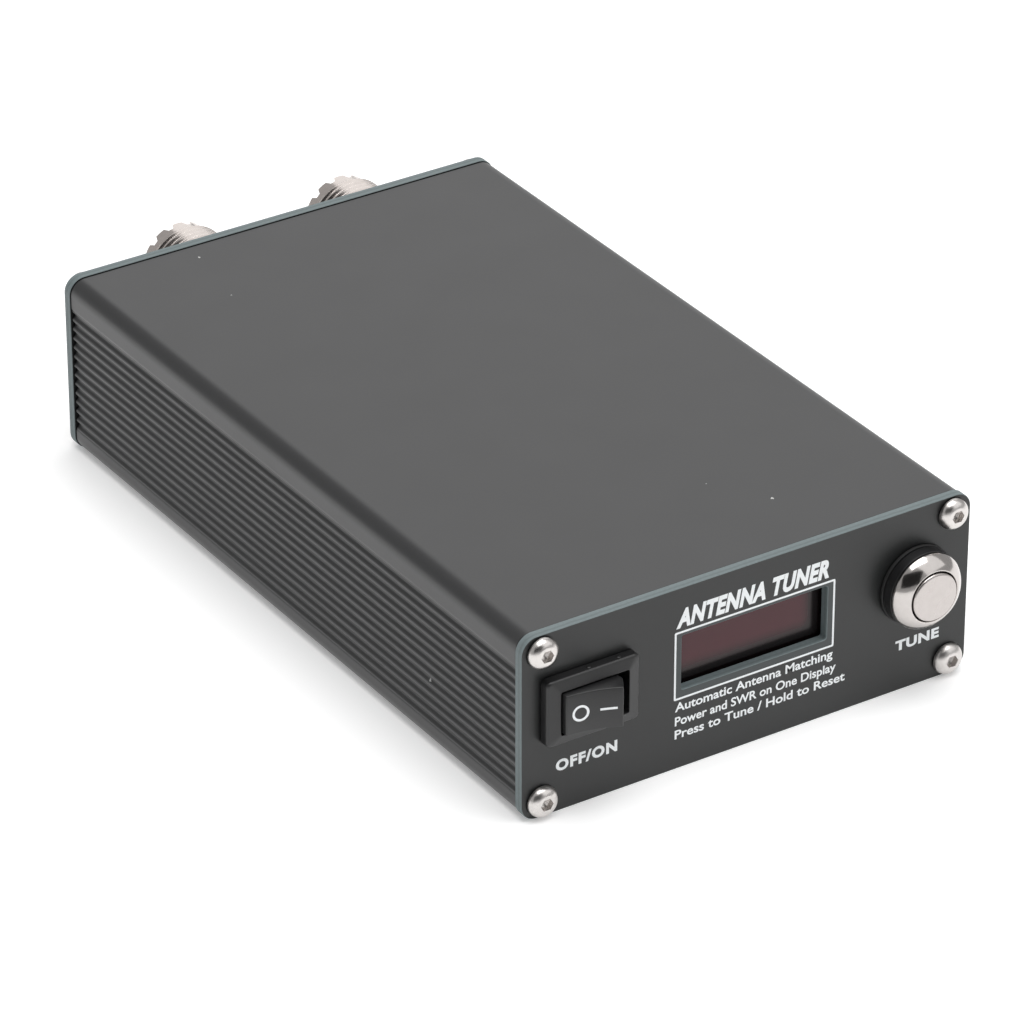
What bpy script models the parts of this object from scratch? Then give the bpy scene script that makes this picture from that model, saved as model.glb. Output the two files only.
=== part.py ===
"""Compact automatic antenna tuner in an extruded aluminium case.

Sizes are in millimetres in the tuner's own frame: x to the right seen from
the front, y from the front panel's outer face towards the back, z up from the
bottom edge of the panels. An empty carries everything to the place where the
origin is the bottom centre of the whole part, and the meshes are in metres.
"""
import math

import bmesh
import bpy
from mathutils import Vector

MM = 0.001

# End panels
PANEL_W = 88.0
PANEL_H = 34.0
PANEL_T = 1.8
PANEL_R = 3.0
SEAT = 0.2                # clearance left between pieces that touch
CONTROL_RISE = 2.85       # switch, window and button above the panel's middle

# Extruded case
CASE_LENGTH = 142.1
CASE_INSET = 0.2          # the case stands back from the panels' edges
WALL_SIDE = 2.3
WALL_FLAT = 1.6           # top and bottom walls
GROOVE_COUNT = 13
GROOVE_PITCH = 1.82
GROOVE_WIDTH = 1.3
GROOVE_DEPTH = 0.7
GROOVE_TOP = 6.1          # from the panel's top edge to the first groove
RIB_INSET = 0.12          # the ribbed field stands back from the flat bands

# Case screws, M3 button heads in screw channels
SCREW_FROM_SIDE = 3.8
SCREW_FROM_EDGE = 3.15
SCREW_R = 1.4
SCREW_LENGTH = 8.0
SCREW_HEAD_R = 2.8
SCREW_HEAD_H = 1.65
HEX_ACROSS = 2.0
HEX_DEPTH = 1.0
BORE_CLEARANCE = 0.2
CHANNEL_BOSS_R = 2.8
CHANNEL_SLIT = 1.2

# Power rocker switch
SWITCH_FROM_SIDE = 12.44
BEZEL_SIDE = 2.35         # width of the sloped bezel beside the opening
BEZEL_END = 2.05          # and above and below it
BEZEL_DRAFT = 0.2         # the bezel's foot is this much larger
BEZEL_EDGE = 1.6
BEZEL_LIP = 2.6
ROCKER_OPENING_W = 13.0
ROCKER_OPENING_H = 8.0
SWITCH_WALL = 1.1
SWITCH_DEPTH = 12.4
ROCKER_PIVOT_Y = 1.2
ROCKER_REACH = 6.28       # pivot to the line through the face's two ends
ROCKER_HOLLOW = 0.55      # how far the face dishes in at its middle
ROCKER_END_ROOM = 1.7     # from an end of the rocker's face to the opening's end
ROCKER_TILT = 15.0
ROCKER_SIDE_CLEARANCE = 0.3
ROCKER_SKIRT = 3.0        # depth of the flared ends
ROCKER_STEM = 5.7         # pivot to the end of the stem
ROCKER_STEM_HALF = 0.8
ROCKER_WALL = 1.6
PIN_R = 1.0
PIN_CLEARANCE = 0.1
PIN_REACH = 0.7
BRIDGE_Y = 7.6
BRIDGE_HALF = 4.5
BRIDGE_T = 0.5
BRIDGE_W = 3.0
BRIDGE_TILT = 6.0
BLADE_T = 0.8
BLADE_W = 4.8
BLADE_END = 20.0
BLADE_SPACING = 5.0

# Tune push button
BUTTON_ROOM = 0.317       # from the button's nut to the case's side wall
SEAL_LAP = 0.15           # the seal shows round the flange
SEAL_T = 0.6
FLANGE_LAP = 1.1
FLANGE_T = 1.9
BUSH_R = 5.9
BUSH_CLEARANCE = 0.3
BODY_REAR = 16.0
BODY_FLOOR = 3.0
RING_STEP = 0.1           # the ring stands back from the flange's edge
RING_H = 2.5
RING_MOUTH_R = 4.6
RING_LAND = 0.25
RING_CHAMFER = 0.7
CAP_CLEARANCE = 0.25
CAP_PROUD = 0.35          # cap's edge above the ring's mouth
CAP_CROWN = 0.25
CAP_EDGE_R = 0.25
CAP_T = 3.4
PLUNGER_HEAD = 4.4
STEM_R = 2.0
STEM_LENGTH = 5.0
CONTACT_R = 3.6
CONTACT_T = 0.4
TRAVEL = 1.6
SPRING_R = 1.4
SPRING_WIRE = 0.3
SPRING_TURNS = 5
TERMINAL_R = 0.55
TERMINAL_SPREAD = 2.7
TERMINAL_OUT = 5.0
NUT_WALL = 0.9
NUT_T = 2.4

# Display
WINDOW_X = 1.12           # from the panel's middle
WINDOW_W = 28.75
WINDOW_H = 10.2
WINDOW_R = 0.5
FILTER_SETBACK = 0.5
FILTER_T = 1.0
FILTER_LAP = 1.4
GLASS_LAP = 0.65
GLASS_T = 1.4
MODULE_SIDE = 4.6         # board beside the window
MODULE_EDGE = 0.9         # board above and below it
MODULE_T = 1.2

# Aerial sockets
SOCKET_1_X = -10.6        # first socket from the panel's middle
SOCKET_2_FROM_SIDE = 20.5
SOCKET_RISE = 3.0         # sockets above the panel's middle
SOCKET_R = 7.95
SOCKET_LENGTH = 16.0
THREAD_COUNT = 6
THREAD_DEPTH = 0.5
LIP_R = 7.2
LIP_LENGTH = 2.5
LIP_NOTCHES = 12
NOTCH_DEPTH = 1.1
NOTCH_ANGLE = 12.0
MOUTH_R = 6.1
MOUTH_DEPTH = 9.0
SHOULDER_LAP = 1.55
SHOULDER_T = 2.5
INSULATOR_R = 5.2
INSULATOR_BACK = 2.0      # how far the insulator stands out behind the shoulder
CONTACT_TUBE_R = 2.9
CONTACT_BORE_R = 2.05
SOLDER_CUP_R = 1.75
CONTACT_BORE_DEPTH = 12.0
CONTACT_RECESS = 2.0
SOLDER_CUP = 8.0
SOCKET_NUT_WALL = 1.35
SOCKET_NUT_T = 3.0
WASHER_LAP = 2.25
WASHER_T = 0.7

# Supply socket
JACK_FROM_SIDE = 13.0
JACK_R = 3.9
JACK_FLANGE_LAP = 1.5
JACK_FLANGE_T = 2.0
JACK_CHAMFER = 0.4
JACK_WALL = 0.8
JACK_DEPTH = 11.0
JACK_BASE_T = 2.0
JACK_PIN_R = 1.05
JACK_PIN_RECESS = 1.0
JACK_TAIL = 4.0
JACK_NUT_WALL = 0.9
JACK_NUT_T = 2.4

# Main board and what stands on it
BOARD_Z = 8.0
BOARD_T = 1.6
BOARD_FRONT_GAP = 2.0
BOARD_BACK_GAP = 0.5      # from the board to the sockets' shoulders
RAIL_REACH = 2.0
RAIL_T = 1.2
BOARD_LIFT = 0.2          # clearance under the parts that stand on the board
RELAY_COUNT = 7
RELAY_W = 20.5
RELAY_L = 9.8
RELAY_H = 11.5
RELAY_PITCH = 10.2
RELAY_WEB = 1.0
RELAY_FROM_WALL = 3.25
RELAY_ROW_Y = 88.0
TOROID_OUTER_R = 12.6
TOROID_INNER_R = 7.6
TOROID_H = 9.5
TOROID_Y = (70.0, 103.0)
WIRE_R = 0.6
WINDING_TURNS = 12
WINDING_SPAN = 300.0
COUPLER_SIZE = (15.0, 9.0, 8.0)
COUPLER_FROM_BACK = 18.1
COUPLER_HOLE_R = 1.9
COUPLER_HOLE_SPREAD = 3.4
COUPLER_CORNER_R = 3.0
CONTROLLER_SIZE = (9.0, 18.0, 2.6)
CONTROLLER_PLACE = (4.0, 34.0)
REGULATOR_SIZE = (10.0, 9.0, 4.5)
REGULATOR_TAB = 6.5
REGULATOR_TAB_T = 1.2
REGULATOR_PLACE = (27.0, 33.0)
RESERVOIR_R = 4.0
RESERVOIR_H = 11.0
RESERVOIR_PLACE = (-28.0, 36.0)
LEAD_R = 0.7

ROUND = 24                # segments of a turned piece

OVERALL = CASE_LENGTH + 2 * (PANEL_T + SEAT)
HALF_W = PANEL_W / 2
CENTRE_Z = PANEL_H / 2
ROOM_HALF = HALF_W - CASE_INSET - WALL_SIDE
CONTROL_Z = CENTRE_Z + CONTROL_RISE
SWITCH_X = SWITCH_FROM_SIDE - HALF_W
NUT_CORNER = (BUSH_R + BORE_CLEARANCE + NUT_WALL) / math.cos(math.pi / 6)
BUTTON_X = ROOM_HALF - BUTTON_ROOM - NUT_CORNER
SOCKET_Z = CENTRE_Z + SOCKET_RISE
SOCKET_X = (SOCKET_1_X, HALF_W - SOCKET_2_FROM_SIDE)
JACK_X = JACK_FROM_SIDE - HALF_W
BEZEL_W = ROCKER_OPENING_W + 2 * BEZEL_SIDE
BEZEL_H = ROCKER_OPENING_H + 2 * BEZEL_END
ROCKER_HALF = ROCKER_OPENING_W / 2 - ROCKER_END_ROOM
FLANGE_R = BUSH_R + FLANGE_LAP
RING_R = FLANGE_R - RING_STEP
RELAY_ROW_X = ROOM_HALF - RELAY_FROM_WALL - RELAY_W / 2
FLANGE_FACE = -(SEAL_T + FLANGE_T + 2 * SEAT)
RING_FACE = FLANGE_FACE - SEAT / 2 - RING_H
CAP_EDGE = RING_FACE - CAP_PROUD
BOARD_TOP = BOARD_Z + BOARD_T + BOARD_LIFT


def rocker_tip():
    """Return how far the raised end of the rocker stands out of the panel."""
    radius = math.hypot(ROCKER_HALF, ROCKER_REACH)
    angle = math.atan2(ROCKER_HALF, ROCKER_REACH) - math.radians(ROCKER_TILT)
    return radius * math.cos(angle) - ROCKER_PIVOT_Y


FRONT_MOST = -max(rocker_tip(), CAP_CROWN - CAP_EDGE)
REAR_MOST = OVERALL + SOCKET_LENGTH + LIP_LENGTH
FRAME_Y = -(FRONT_MOST + REAR_MOST) / 2


def clear_scene():
    for item in list(bpy.data.objects):
        bpy.data.objects.remove(item, do_unlink=True)


def make_frame():
    """The empty that every piece hangs on."""
    empty = bpy.data.objects.new("tuner_frame", None)
    empty.location = (0.0, FRAME_Y * MM, 0.0)
    bpy.context.scene.collection.objects.link(empty)
    return empty


def make_material(name, colour, roughness, metallic=0.0):
    mat = bpy.data.materials.new(name)
    mat.use_nodes = True
    shader = mat.node_tree.nodes["Principled BSDF"]
    shader.inputs["Base Color"].default_value = (*colour, 1.0)
    shader.inputs["Roughness"].default_value = roughness
    shader.inputs["Metallic"].default_value = metallic
    mat.diffuse_color = (*colour, 1.0)
    return mat


def add_piece(name, data, mat, place=(0.0, 0.0, 0.0), turn=0.0):
    """Link a mesh or curve as a named piece; turn is about z, in degrees."""
    piece = bpy.data.objects.new(name, data)
    piece.location = Vector(place) * MM
    piece.rotation_euler = (0.0, 0.0, math.radians(turn))
    piece.parent = FRAME
    if not data.materials:
        data.materials.append(mat)
    bpy.context.scene.collection.objects.link(piece)
    return piece


def finish_mesh(name, bm, smooth):
    bmesh.ops.recalc_face_normals(bm, faces=bm.faces)
    data = bpy.data.meshes.new(name)
    bm.to_mesh(data)
    bm.free()
    if smooth:
        data.shade_smooth()
        data.set_sharp_from_angle(angle=math.radians(35))
    return data


def prism_mesh(name, loops, start, end, axis="y", smooth=False):
    """Extrude an outline with holes from start to end along y or z."""
    bm = bmesh.new()
    for loop in loops:
        if axis == "y":
            corners = [bm.verts.new((a * MM, start * MM, b * MM)) for a, b in loop]
        else:
            corners = [bm.verts.new((a * MM, b * MM, start * MM)) for a, b in loop]
        for first, second in zip(corners, corners[1:] + corners[:1]):
            bm.edges.new((first, second))
    bmesh.ops.triangle_fill(bm, use_beauty=True, edges=bm.edges[:])
    grown = bmesh.ops.extrude_face_region(bm, geom=bm.faces[:])
    shift = (end - start) * MM
    way = (0.0, shift, 0.0) if axis == "y" else (0.0, 0.0, shift)
    moved = [item for item in grown["geom"] if isinstance(item, bmesh.types.BMVert)]
    bmesh.ops.translate(bm, verts=moved, vec=way)
    return finish_mesh(name, bm, smooth)


def loft_mesh(name, rings, closed=False, smooth=True):
    """Skin rings of equal count; closed joins last to first, else both ends are capped."""
    bm = bmesh.new()
    rows = [[bm.verts.new(Vector(point) * MM) for point in ring] for ring in rings]
    pairs = list(zip(rows, rows[1:]))
    if closed:
        pairs.append((rows[-1], rows[0]))
    for row, following in pairs:
        for i in range(len(row)):
            j = (i + 1) % len(row)
            bm.faces.new((row[i], row[j], following[j], following[i]))
    if not closed:
        bm.faces.new(rows[0])
        bm.faces.new(rows[-1])
    return finish_mesh(name, bm, smooth)


def steps(count, start=0.0, span=360.0):
    return [math.radians(start + span * i / count) for i in range(count)]


def circle(radius, y, count=ROUND):
    """A ring about the y axis."""
    return [(radius * math.cos(a), y, radius * math.sin(a)) for a in steps(count)]


def hexagon(across, y, count=ROUND):
    """A six-sided ring about the y axis, with its points shared out evenly."""
    ring = []
    for a in steps(count):
        off = math.remainder(a - math.pi / 6, math.pi / 3)
        radius = across / 2 / math.cos(off)
        ring.append((radius * math.cos(a), y, radius * math.sin(a)))
    return ring


def turned_mesh(name, profile, closed=False, count=ROUND):
    """Turn a profile of (radius, y) points about the y axis."""
    return loft_mesh(name, [circle(r, y, count) for r, y in profile], closed)


def rounded_box(width, height, radius, centre=(0.0, 0.0), segments=4):
    """An outline with round corners, counter-clockwise from the right side."""
    points = []
    for side_x, side_z, start in ((1, 1, 0), (-1, 1, 90), (-1, -1, 180), (1, -1, 270)):
        for i in range(segments + 1):
            a = math.radians(start + 90 * i / segments)
            x = side_x * (width / 2 - radius) + radius * math.cos(a)
            z = side_z * (height / 2 - radius) + radius * math.sin(a)
            points.append((centre[0] + x, centre[1] + z))
    return points


def disc(radius, centre=(0.0, 0.0), count=ROUND):
    return [(centre[0] + radius * math.cos(a), centre[1] + radius * math.sin(a)) for a in steps(count)]


def wall_ring(width, height, radius, y):
    return [(x, y, z) for x, z in rounded_box(width, height, radius)]


def block_mesh(name, low, high):
    outline = [(low[0], low[1]), (high[0], low[1]), (high[0], high[1]), (low[0], high[1])]
    return prism_mesh(name, [outline], low[2], high[2], axis="z")


def tube_curve(name, points, radius, sides=2):
    """A bevelled curve with filled ends through the points."""
    data = bpy.data.curves.new(name, "CURVE")
    data.dimensions = "3D"
    data.bevel_depth = radius * MM
    data.bevel_resolution = sides
    data.use_fill_caps = True
    spline = data.splines.new("POLY")
    spline.points.add(len(points) - 1)
    for knot, point in zip(spline.points, points):
        knot.co = (*(Vector(point) * MM), 1.0)
    return data


def cut(piece, data, place=(0.0, 0.0, 0.0)):
    """Subtract a hidden cutter from a piece."""
    cutter = bpy.data.objects.new(f"{piece.name}_cutter", data)
    cutter.location = Vector(place) * MM
    cutter.parent = FRAME
    cutter.hide_render = True
    cutter.display_type = "WIRE"
    bpy.context.scene.collection.objects.link(cutter)
    slot = piece.modifiers.new("cut", "BOOLEAN")
    slot.operation = "DIFFERENCE"
    slot.solver = "EXACT"
    slot.object = cutter


def screw_places():
    x = HALF_W - SCREW_FROM_SIDE
    z = CENTRE_Z - SCREW_FROM_EDGE
    return [(-x, CENTRE_Z + z), (x, CENTRE_Z + z), (x, CENTRE_Z - z), (-x, CENTRE_Z - z)]


def arc(centre, radius, start, end, count):
    """Points along an arc between two angles in degrees, both ends included."""
    points = []
    for i in range(count + 1):
        a = math.radians(start + (end - start) * i / count)
        points.append((centre[0] + radius * math.cos(a), centre[1] + radius * math.sin(a)))
    return points


def case_outer_right():
    """Right half of the outer outline, from the bottom up."""
    half = HALF_W - CASE_INSET
    radius = PANEL_R - CASE_INSET
    low = CASE_INSET
    high = PANEL_H - CASE_INSET
    points = arc((half - radius, low + radius), radius, -90, 0, 5)
    crest = half - RIB_INSET
    valley = crest - GROOVE_DEPTH
    bevel = GROOVE_WIDTH * 0.35
    first = PANEL_H - GROOVE_TOP - GROOVE_WIDTH - GROOVE_PITCH * (GROOVE_COUNT - 1)
    points.append((half, first - RIB_INSET))
    for i in range(GROOVE_COUNT):
        z = first + i * GROOVE_PITCH
        points.append((crest, z))
        points.append((valley, z + bevel))
        points.append((valley, z + GROOVE_WIDTH - bevel))
        points.append((crest, z + GROOVE_WIDTH))
    points.append((crest, PANEL_H - GROOVE_TOP + GROOVE_PITCH - GROOVE_WIDTH))
    points.append((half, PANEL_H - GROOVE_TOP + GROOVE_PITCH - GROOVE_WIDTH + RIB_INSET))
    return points + arc((half - radius, high - radius), radius, 0, 90, 5)


def screw_channel(centre, side, flat):
    """Round boss with an open bore, from the side wall over to the flat wall."""
    bore = SCREW_R + BORE_CLEARANCE
    rise = math.degrees(math.asin((flat - centre[1]) / CHANNEL_BOSS_R))
    fall = math.degrees(math.acos((side - centre[0]) / CHANNEL_BOSS_R))
    outer_gap = math.degrees(math.asin(CHANNEL_SLIT / 2 / CHANNEL_BOSS_R))
    inner_gap = math.degrees(math.asin(CHANNEL_SLIT / 2 / bore))
    points = arc(centre, CHANNEL_BOSS_R, 360 - fall, 225 + outer_gap, 4)
    points += arc(centre, bore, 225 + inner_gap, 585 - inner_gap, 12)
    return points + arc(centre, CHANNEL_BOSS_R, 225 - outer_gap, 180 - rise, 4)


def case_cavity_right():
    """Right half of the hollow, from the bottom up, with board rails and screw channels."""
    side = ROOM_HALF
    flat = PANEL_H - CASE_INSET - WALL_FLAT
    centre = (HALF_W - SCREW_FROM_SIDE, PANEL_H - SCREW_FROM_EDGE)
    upper = screw_channel(centre, side, flat)
    lower = [(x, PANEL_H - z) for x, z in reversed(upper)]
    inner = side - RAIL_REACH
    low = BOARD_Z - SEAT
    high = BOARD_Z + BOARD_T + SEAT
    rails = [
        (side, low - RAIL_T), (inner, low - RAIL_T), (inner, low), (side, low),
        (side, high), (inner, high), (inner, high + RAIL_T), (side, high + RAIL_T),
    ]
    return lower + rails + upper


def mirrored(points):
    """Close a right half with its mirror image."""
    return points + [(-x, z) for x, z in reversed(points)]


def make_case(mat):
    loops = [mirrored(case_outer_right()), mirrored(case_cavity_right())]
    start = PANEL_T + SEAT
    data = prism_mesh("case_extrusion", loops, 0.0, CASE_LENGTH, smooth=True)
    add_piece("case_extrusion", data, mat, (0.0, start, 0.0))


def panel_outline():
    return rounded_box(PANEL_W, PANEL_H, PANEL_R, (0.0, CENTRE_Z), 6)


def make_panels(mat):
    hole = SCREW_R + BORE_CLEARANCE
    screw_holes = [disc(hole, place, 16) for place in screw_places()]
    front = [panel_outline(), *screw_holes]
    front.append(rounded_box(WINDOW_W, WINDOW_H, WINDOW_R, (WINDOW_X, CONTROL_Z), 2))
    body_w = ROCKER_OPENING_W + 2 * SWITCH_WALL + 2 * SEAT
    body_h = ROCKER_OPENING_H + 2 * SWITCH_WALL + 2 * SEAT
    front.append(rounded_box(body_w, body_h, 0.6, (SWITCH_X, CONTROL_Z), 2))
    front.append(disc(BUSH_R + BUSH_CLEARANCE, (BUTTON_X, CONTROL_Z)))
    add_piece("front_panel", prism_mesh("front_panel", front, 0.0, PANEL_T), mat)
    rear = [panel_outline(), *screw_holes]
    rear += [disc(SOCKET_R + BORE_CLEARANCE, (x, SOCKET_Z)) for x in SOCKET_X]
    rear.append(disc(JACK_R + BORE_CLEARANCE, (JACK_X, SOCKET_Z)))
    data = prism_mesh("rear_panel", rear, 0.0, PANEL_T)
    add_piece("rear_panel", data, mat, (0.0, OVERALL - PANEL_T, 0.0))


def screw_mesh():
    """Button-head screw along +y, with its head's seat at y = 0 and a hexagon socket."""
    count = 12
    crown = SCREW_HEAD_R * 0.62
    rings = [
        circle(SCREW_R, SCREW_LENGTH, count),
        circle(SCREW_R, 0.0, count),
        circle(SCREW_HEAD_R, 0.0, count),
        circle(SCREW_HEAD_R * 0.97, -SCREW_HEAD_H * 0.35, count),
        circle(SCREW_HEAD_R * 0.84, -SCREW_HEAD_H * 0.75, count),
        circle(crown, -SCREW_HEAD_H, count),
        hexagon(HEX_ACROSS, -SCREW_HEAD_H, count),
        hexagon(HEX_ACROSS, HEX_DEPTH - SCREW_HEAD_H, count),
    ]
    return loft_mesh("case_screw", rings)


def make_screws(mat):
    data = screw_mesh()
    names = ("top_left", "top_right", "bottom_right", "bottom_left")
    for name, (x, z) in zip(names, screw_places()):
        add_piece(f"front_screw_{name}", data, mat, (x, -SEAT, z))
        add_piece(f"rear_screw_{name}", data, mat, (x, OVERALL + SEAT, z), turn=180.0)


def make_switch(plastic, metal):
    place = (SWITCH_X, 0.0, CONTROL_Z)
    wide = ROCKER_OPENING_W + 2 * SWITCH_WALL
    tall = ROCKER_OPENING_H + 2 * SWITCH_WALL
    rings = [
        wall_ring(ROCKER_OPENING_W, ROCKER_OPENING_H, 0.3, SWITCH_DEPTH - SWITCH_WALL),
        wall_ring(ROCKER_OPENING_W, ROCKER_OPENING_H, 0.3, -BEZEL_LIP),
        wall_ring(BEZEL_W - 0.6, BEZEL_H - 0.6, 0.7, -BEZEL_EDGE - 0.2),
        wall_ring(BEZEL_W, BEZEL_H, 0.8, -BEZEL_EDGE),
        wall_ring(BEZEL_W + BEZEL_DRAFT, BEZEL_H + BEZEL_DRAFT, 0.9, -SEAT),
        wall_ring(wide, tall, 0.5, -SEAT),
        wall_ring(wide, tall, 0.5, SWITCH_DEPTH),
    ]
    data = loft_mesh("switch_housing", rings, smooth=False)
    housing = add_piece("switch_housing", data, plastic, place)

    pin_bore = disc(PIN_R + PIN_CLEARANCE, (0.0, ROCKER_PIVOT_Y))
    bore_half = ROCKER_OPENING_H / 2 + PIN_REACH + PIN_CLEARANCE
    cut(housing, prism_mesh("pin_bore", [pin_bore], -bore_half, bore_half, axis="z"), place)
    slot = (BLADE_T / 2 + SEAT, BLADE_W / 2 + SEAT)
    for offset in (0.0, -BLADE_SPACING):
        low = (offset - slot[0], SWITCH_DEPTH - 2 * SWITCH_WALL, -slot[1])
        high = (offset + slot[0], SWITCH_DEPTH + SWITCH_WALL, slot[1])
        cut(housing, block_mesh("blade_slot", low, high), place)

    make_rocker(plastic)
    strip = block_mesh("switch_bridge", (-BRIDGE_HALF, 0.0, -BRIDGE_W / 2),
                       (BRIDGE_HALF, BRIDGE_T, BRIDGE_W / 2))
    add_piece("switch_bridge", strip, metal, (SWITCH_X, BRIDGE_Y, CONTROL_Z), turn=BRIDGE_TILT)
    dip = BRIDGE_HALF * math.sin(math.radians(BRIDGE_TILT))
    contacts = (("switch_terminal_common", 0.0, 0.0), ("switch_terminal_load", -BLADE_SPACING, dip))
    for name, offset, drop in contacts:
        top = BRIDGE_Y + BRIDGE_T + drop + SEAT
        low = (offset - BLADE_T / 2, top, -BLADE_W / 2)
        high = (offset + BLADE_T / 2, BLADE_END, BLADE_W / 2)
        add_piece(name, block_mesh(name, low, high), metal, place)


def rocker_face():
    """The dished face as an arc from the left end to the right end."""
    points = []
    for i in range(9):
        t = 2 * i / 8 - 1
        points.append((ROCKER_HALF * t, -ROCKER_REACH + ROCKER_HOLLOW * (1 - t * t)))
    return points


def make_rocker(mat):
    """Rocker about its pivot pins; it rests tipped with its right end out."""
    flare = ROCKER_SKIRT * math.tan(math.radians(ROCKER_TILT))
    skirt = (ROCKER_HALF + flare, ROCKER_SKIRT - ROCKER_REACH)
    half = [skirt, (skirt[0] - ROCKER_WALL, 0.6), (2.2, 2.4), (ROCKER_STEM_HALF, 3.2),
            (ROCKER_STEM_HALF, ROCKER_STEM)]
    outline = rocker_face() + half + [(-x, y) for x, y in reversed(half)]
    thick = ROCKER_OPENING_H / 2 - ROCKER_SIDE_CLEARANCE
    data = prism_mesh("rocker", [outline], -thick, thick, axis="z", smooth=True)
    piece = add_piece("rocker", data, mat, (SWITCH_X, ROCKER_PIVOT_Y, CONTROL_Z), turn=-ROCKER_TILT)
    reach = ROCKER_OPENING_H / 2 + PIN_REACH
    pin = prism_mesh("rocker_pin", [disc(PIN_R)], -reach, reach, axis="z", smooth=True)
    cut(piece, pin, (SWITCH_X, ROCKER_PIVOT_Y, CONTROL_Z))
    piece.modifiers[-1].operation = "UNION"


def make_button(plastic, rubber, chrome, brass, steel):
    place = (BUTTON_X, 0.0, CONTROL_Z)
    inner = BUSH_R + BUSH_CLEARANCE
    outer = FLANGE_R + SEAL_LAP
    front = -SEAT - SEAL_T
    seal = [(inner, -SEAT), (outer, -SEAT), (outer, front), (inner, front)]
    add_piece("button_seal", turned_mesh("button_seal", seal, closed=True), rubber, place)

    bore = RING_MOUTH_R
    floor = BODY_REAR - BODY_FLOOR
    body = [(bore, floor), (bore, FLANGE_FACE), (FLANGE_R, FLANGE_FACE),
            (FLANGE_R, -SEAL_T - 2 * SEAT), (BUSH_R, -SEAL_T - 2 * SEAT), (BUSH_R, BODY_REAR)]
    shell = add_piece("button_body", turned_mesh("button_body", body), plastic, place)
    for side in (-1, 1):
        outline = disc(TERMINAL_R + SEAT, (side * TERMINAL_SPREAD, 0.0), 12)
        hole = prism_mesh("terminal_hole", [outline], floor - 1.0, BODY_REAR + 1.0)
        cut(shell, hole, place)

    base = FLANGE_FACE - SEAT / 2
    ring = [
        (RING_MOUTH_R, base),
        (RING_R, base),
        (RING_R, base - RING_H * 0.1),
        (RING_R - RING_CHAMFER, base - RING_H * 0.4),
        (RING_R - 2 * RING_CHAMFER, base - RING_H * 0.7),
        (RING_MOUTH_R + RING_LAND, RING_FACE),
        (RING_MOUTH_R, RING_FACE),
    ]
    add_piece("button_ring", turned_mesh("button_ring", ring, closed=True), chrome, place)

    cap_r = RING_MOUTH_R - CAP_CLEARANCE
    under = CAP_EDGE + CAP_T
    cap = [
        (cap_r, under),
        (cap_r, CAP_EDGE + CAP_EDGE_R),
        (cap_r - CAP_EDGE_R, CAP_EDGE),
        (cap_r * 0.6, CAP_EDGE - CAP_CROWN * 0.7),
        (cap_r * 0.2, CAP_EDGE - CAP_CROWN),
    ]
    add_piece("button_cap", turned_mesh("button_cap", cap), chrome, place)

    top = under + SEAT
    stem_end = top + PLUNGER_HEAD + STEM_LENGTH
    shoulder = top + PLUNGER_HEAD
    plunger = [(cap_r, top), (cap_r, shoulder), (STEM_R, shoulder), (STEM_R, stem_end)]
    add_piece("button_plunger", turned_mesh("button_plunger", plunger), plastic, place)
    face = stem_end + SEAT
    contact = [(CONTACT_R, face), (CONTACT_R, face + CONTACT_T)]
    add_piece("button_contact", turned_mesh("button_contact", contact), brass, place)

    low = face + CONTACT_T + SPRING_WIRE + SEAT
    high = floor - SPRING_WIRE - SEAT
    turns = SPRING_TURNS * 8
    coil = []
    for i in range(turns + 1):
        a = 2 * math.pi * i / 8
        coil.append((SPRING_R * math.cos(a), low + (high - low) * i / turns, SPRING_R * math.sin(a)))
    add_piece("button_spring", tube_curve("button_spring", coil, SPRING_WIRE, 0), steel, place)

    for side, name in ((-1, "button_terminal_left"), (1, "button_terminal_right")):
        start = face + CONTACT_T + TRAVEL + SEAT / 2
        pin = [disc(TERMINAL_R, (side * TERMINAL_SPREAD, 0.0), 8)]
        add_piece(name, prism_mesh(name, pin, start, BODY_REAR + TERMINAL_OUT), brass, place)

    nut_place = (BUTTON_X, PANEL_T + SEAT, CONTROL_Z)
    make_nut("button_nut", BUSH_R, NUT_WALL, NUT_T, steel, nut_place)


def make_nut(name, thread, wall, thick, mat, place):
    """Hexagon nut for a thread's radius, that starts at its place and runs along +y."""
    bore = thread + BORE_CLEARANCE
    across = 2 * (bore + wall)
    rings = [circle(bore, 0.0), hexagon(across, 0.0), hexagon(across, thick), circle(bore, thick)]
    add_piece(name, loft_mesh(name, rings, closed=True, smooth=False), mat, place)


def centred_plate(name, width, height, start, thick, mat, radius=0.4):
    outline = rounded_box(width, height, radius, (WINDOW_X, CONTROL_Z), 2)
    add_piece(name, prism_mesh(name, [outline], start, start + thick), mat)


def make_display(acrylic, glass, board):
    start = PANEL_T + FILTER_SETBACK
    lap = 2 * FILTER_LAP
    centred_plate("display_filter", WINDOW_W + lap, WINDOW_H + lap, start, FILTER_T, acrylic)
    start += FILTER_T + SEAT
    lap = 2 * GLASS_LAP
    centred_plate("display_glass", WINDOW_W + lap, WINDOW_H + lap, start, GLASS_T, glass)
    start += GLASS_T + SEAT
    wide = WINDOW_W + 2 * MODULE_SIDE
    centred_plate("display_board", wide, WINDOW_H + 2 * MODULE_EDGE, start, MODULE_T, board)


def lip_angles():
    """Ring angles with a doubled point at both edges of every notch."""
    pitch = 360.0 / LIP_NOTCHES
    edge = 0.5
    angles = []
    for i in range(LIP_NOTCHES):
        start = i * pitch
        angles += [(start, True), (start + NOTCH_ANGLE, True), (start + NOTCH_ANGLE + edge, False),
                   (start + pitch - edge, False)]
    return angles


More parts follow.
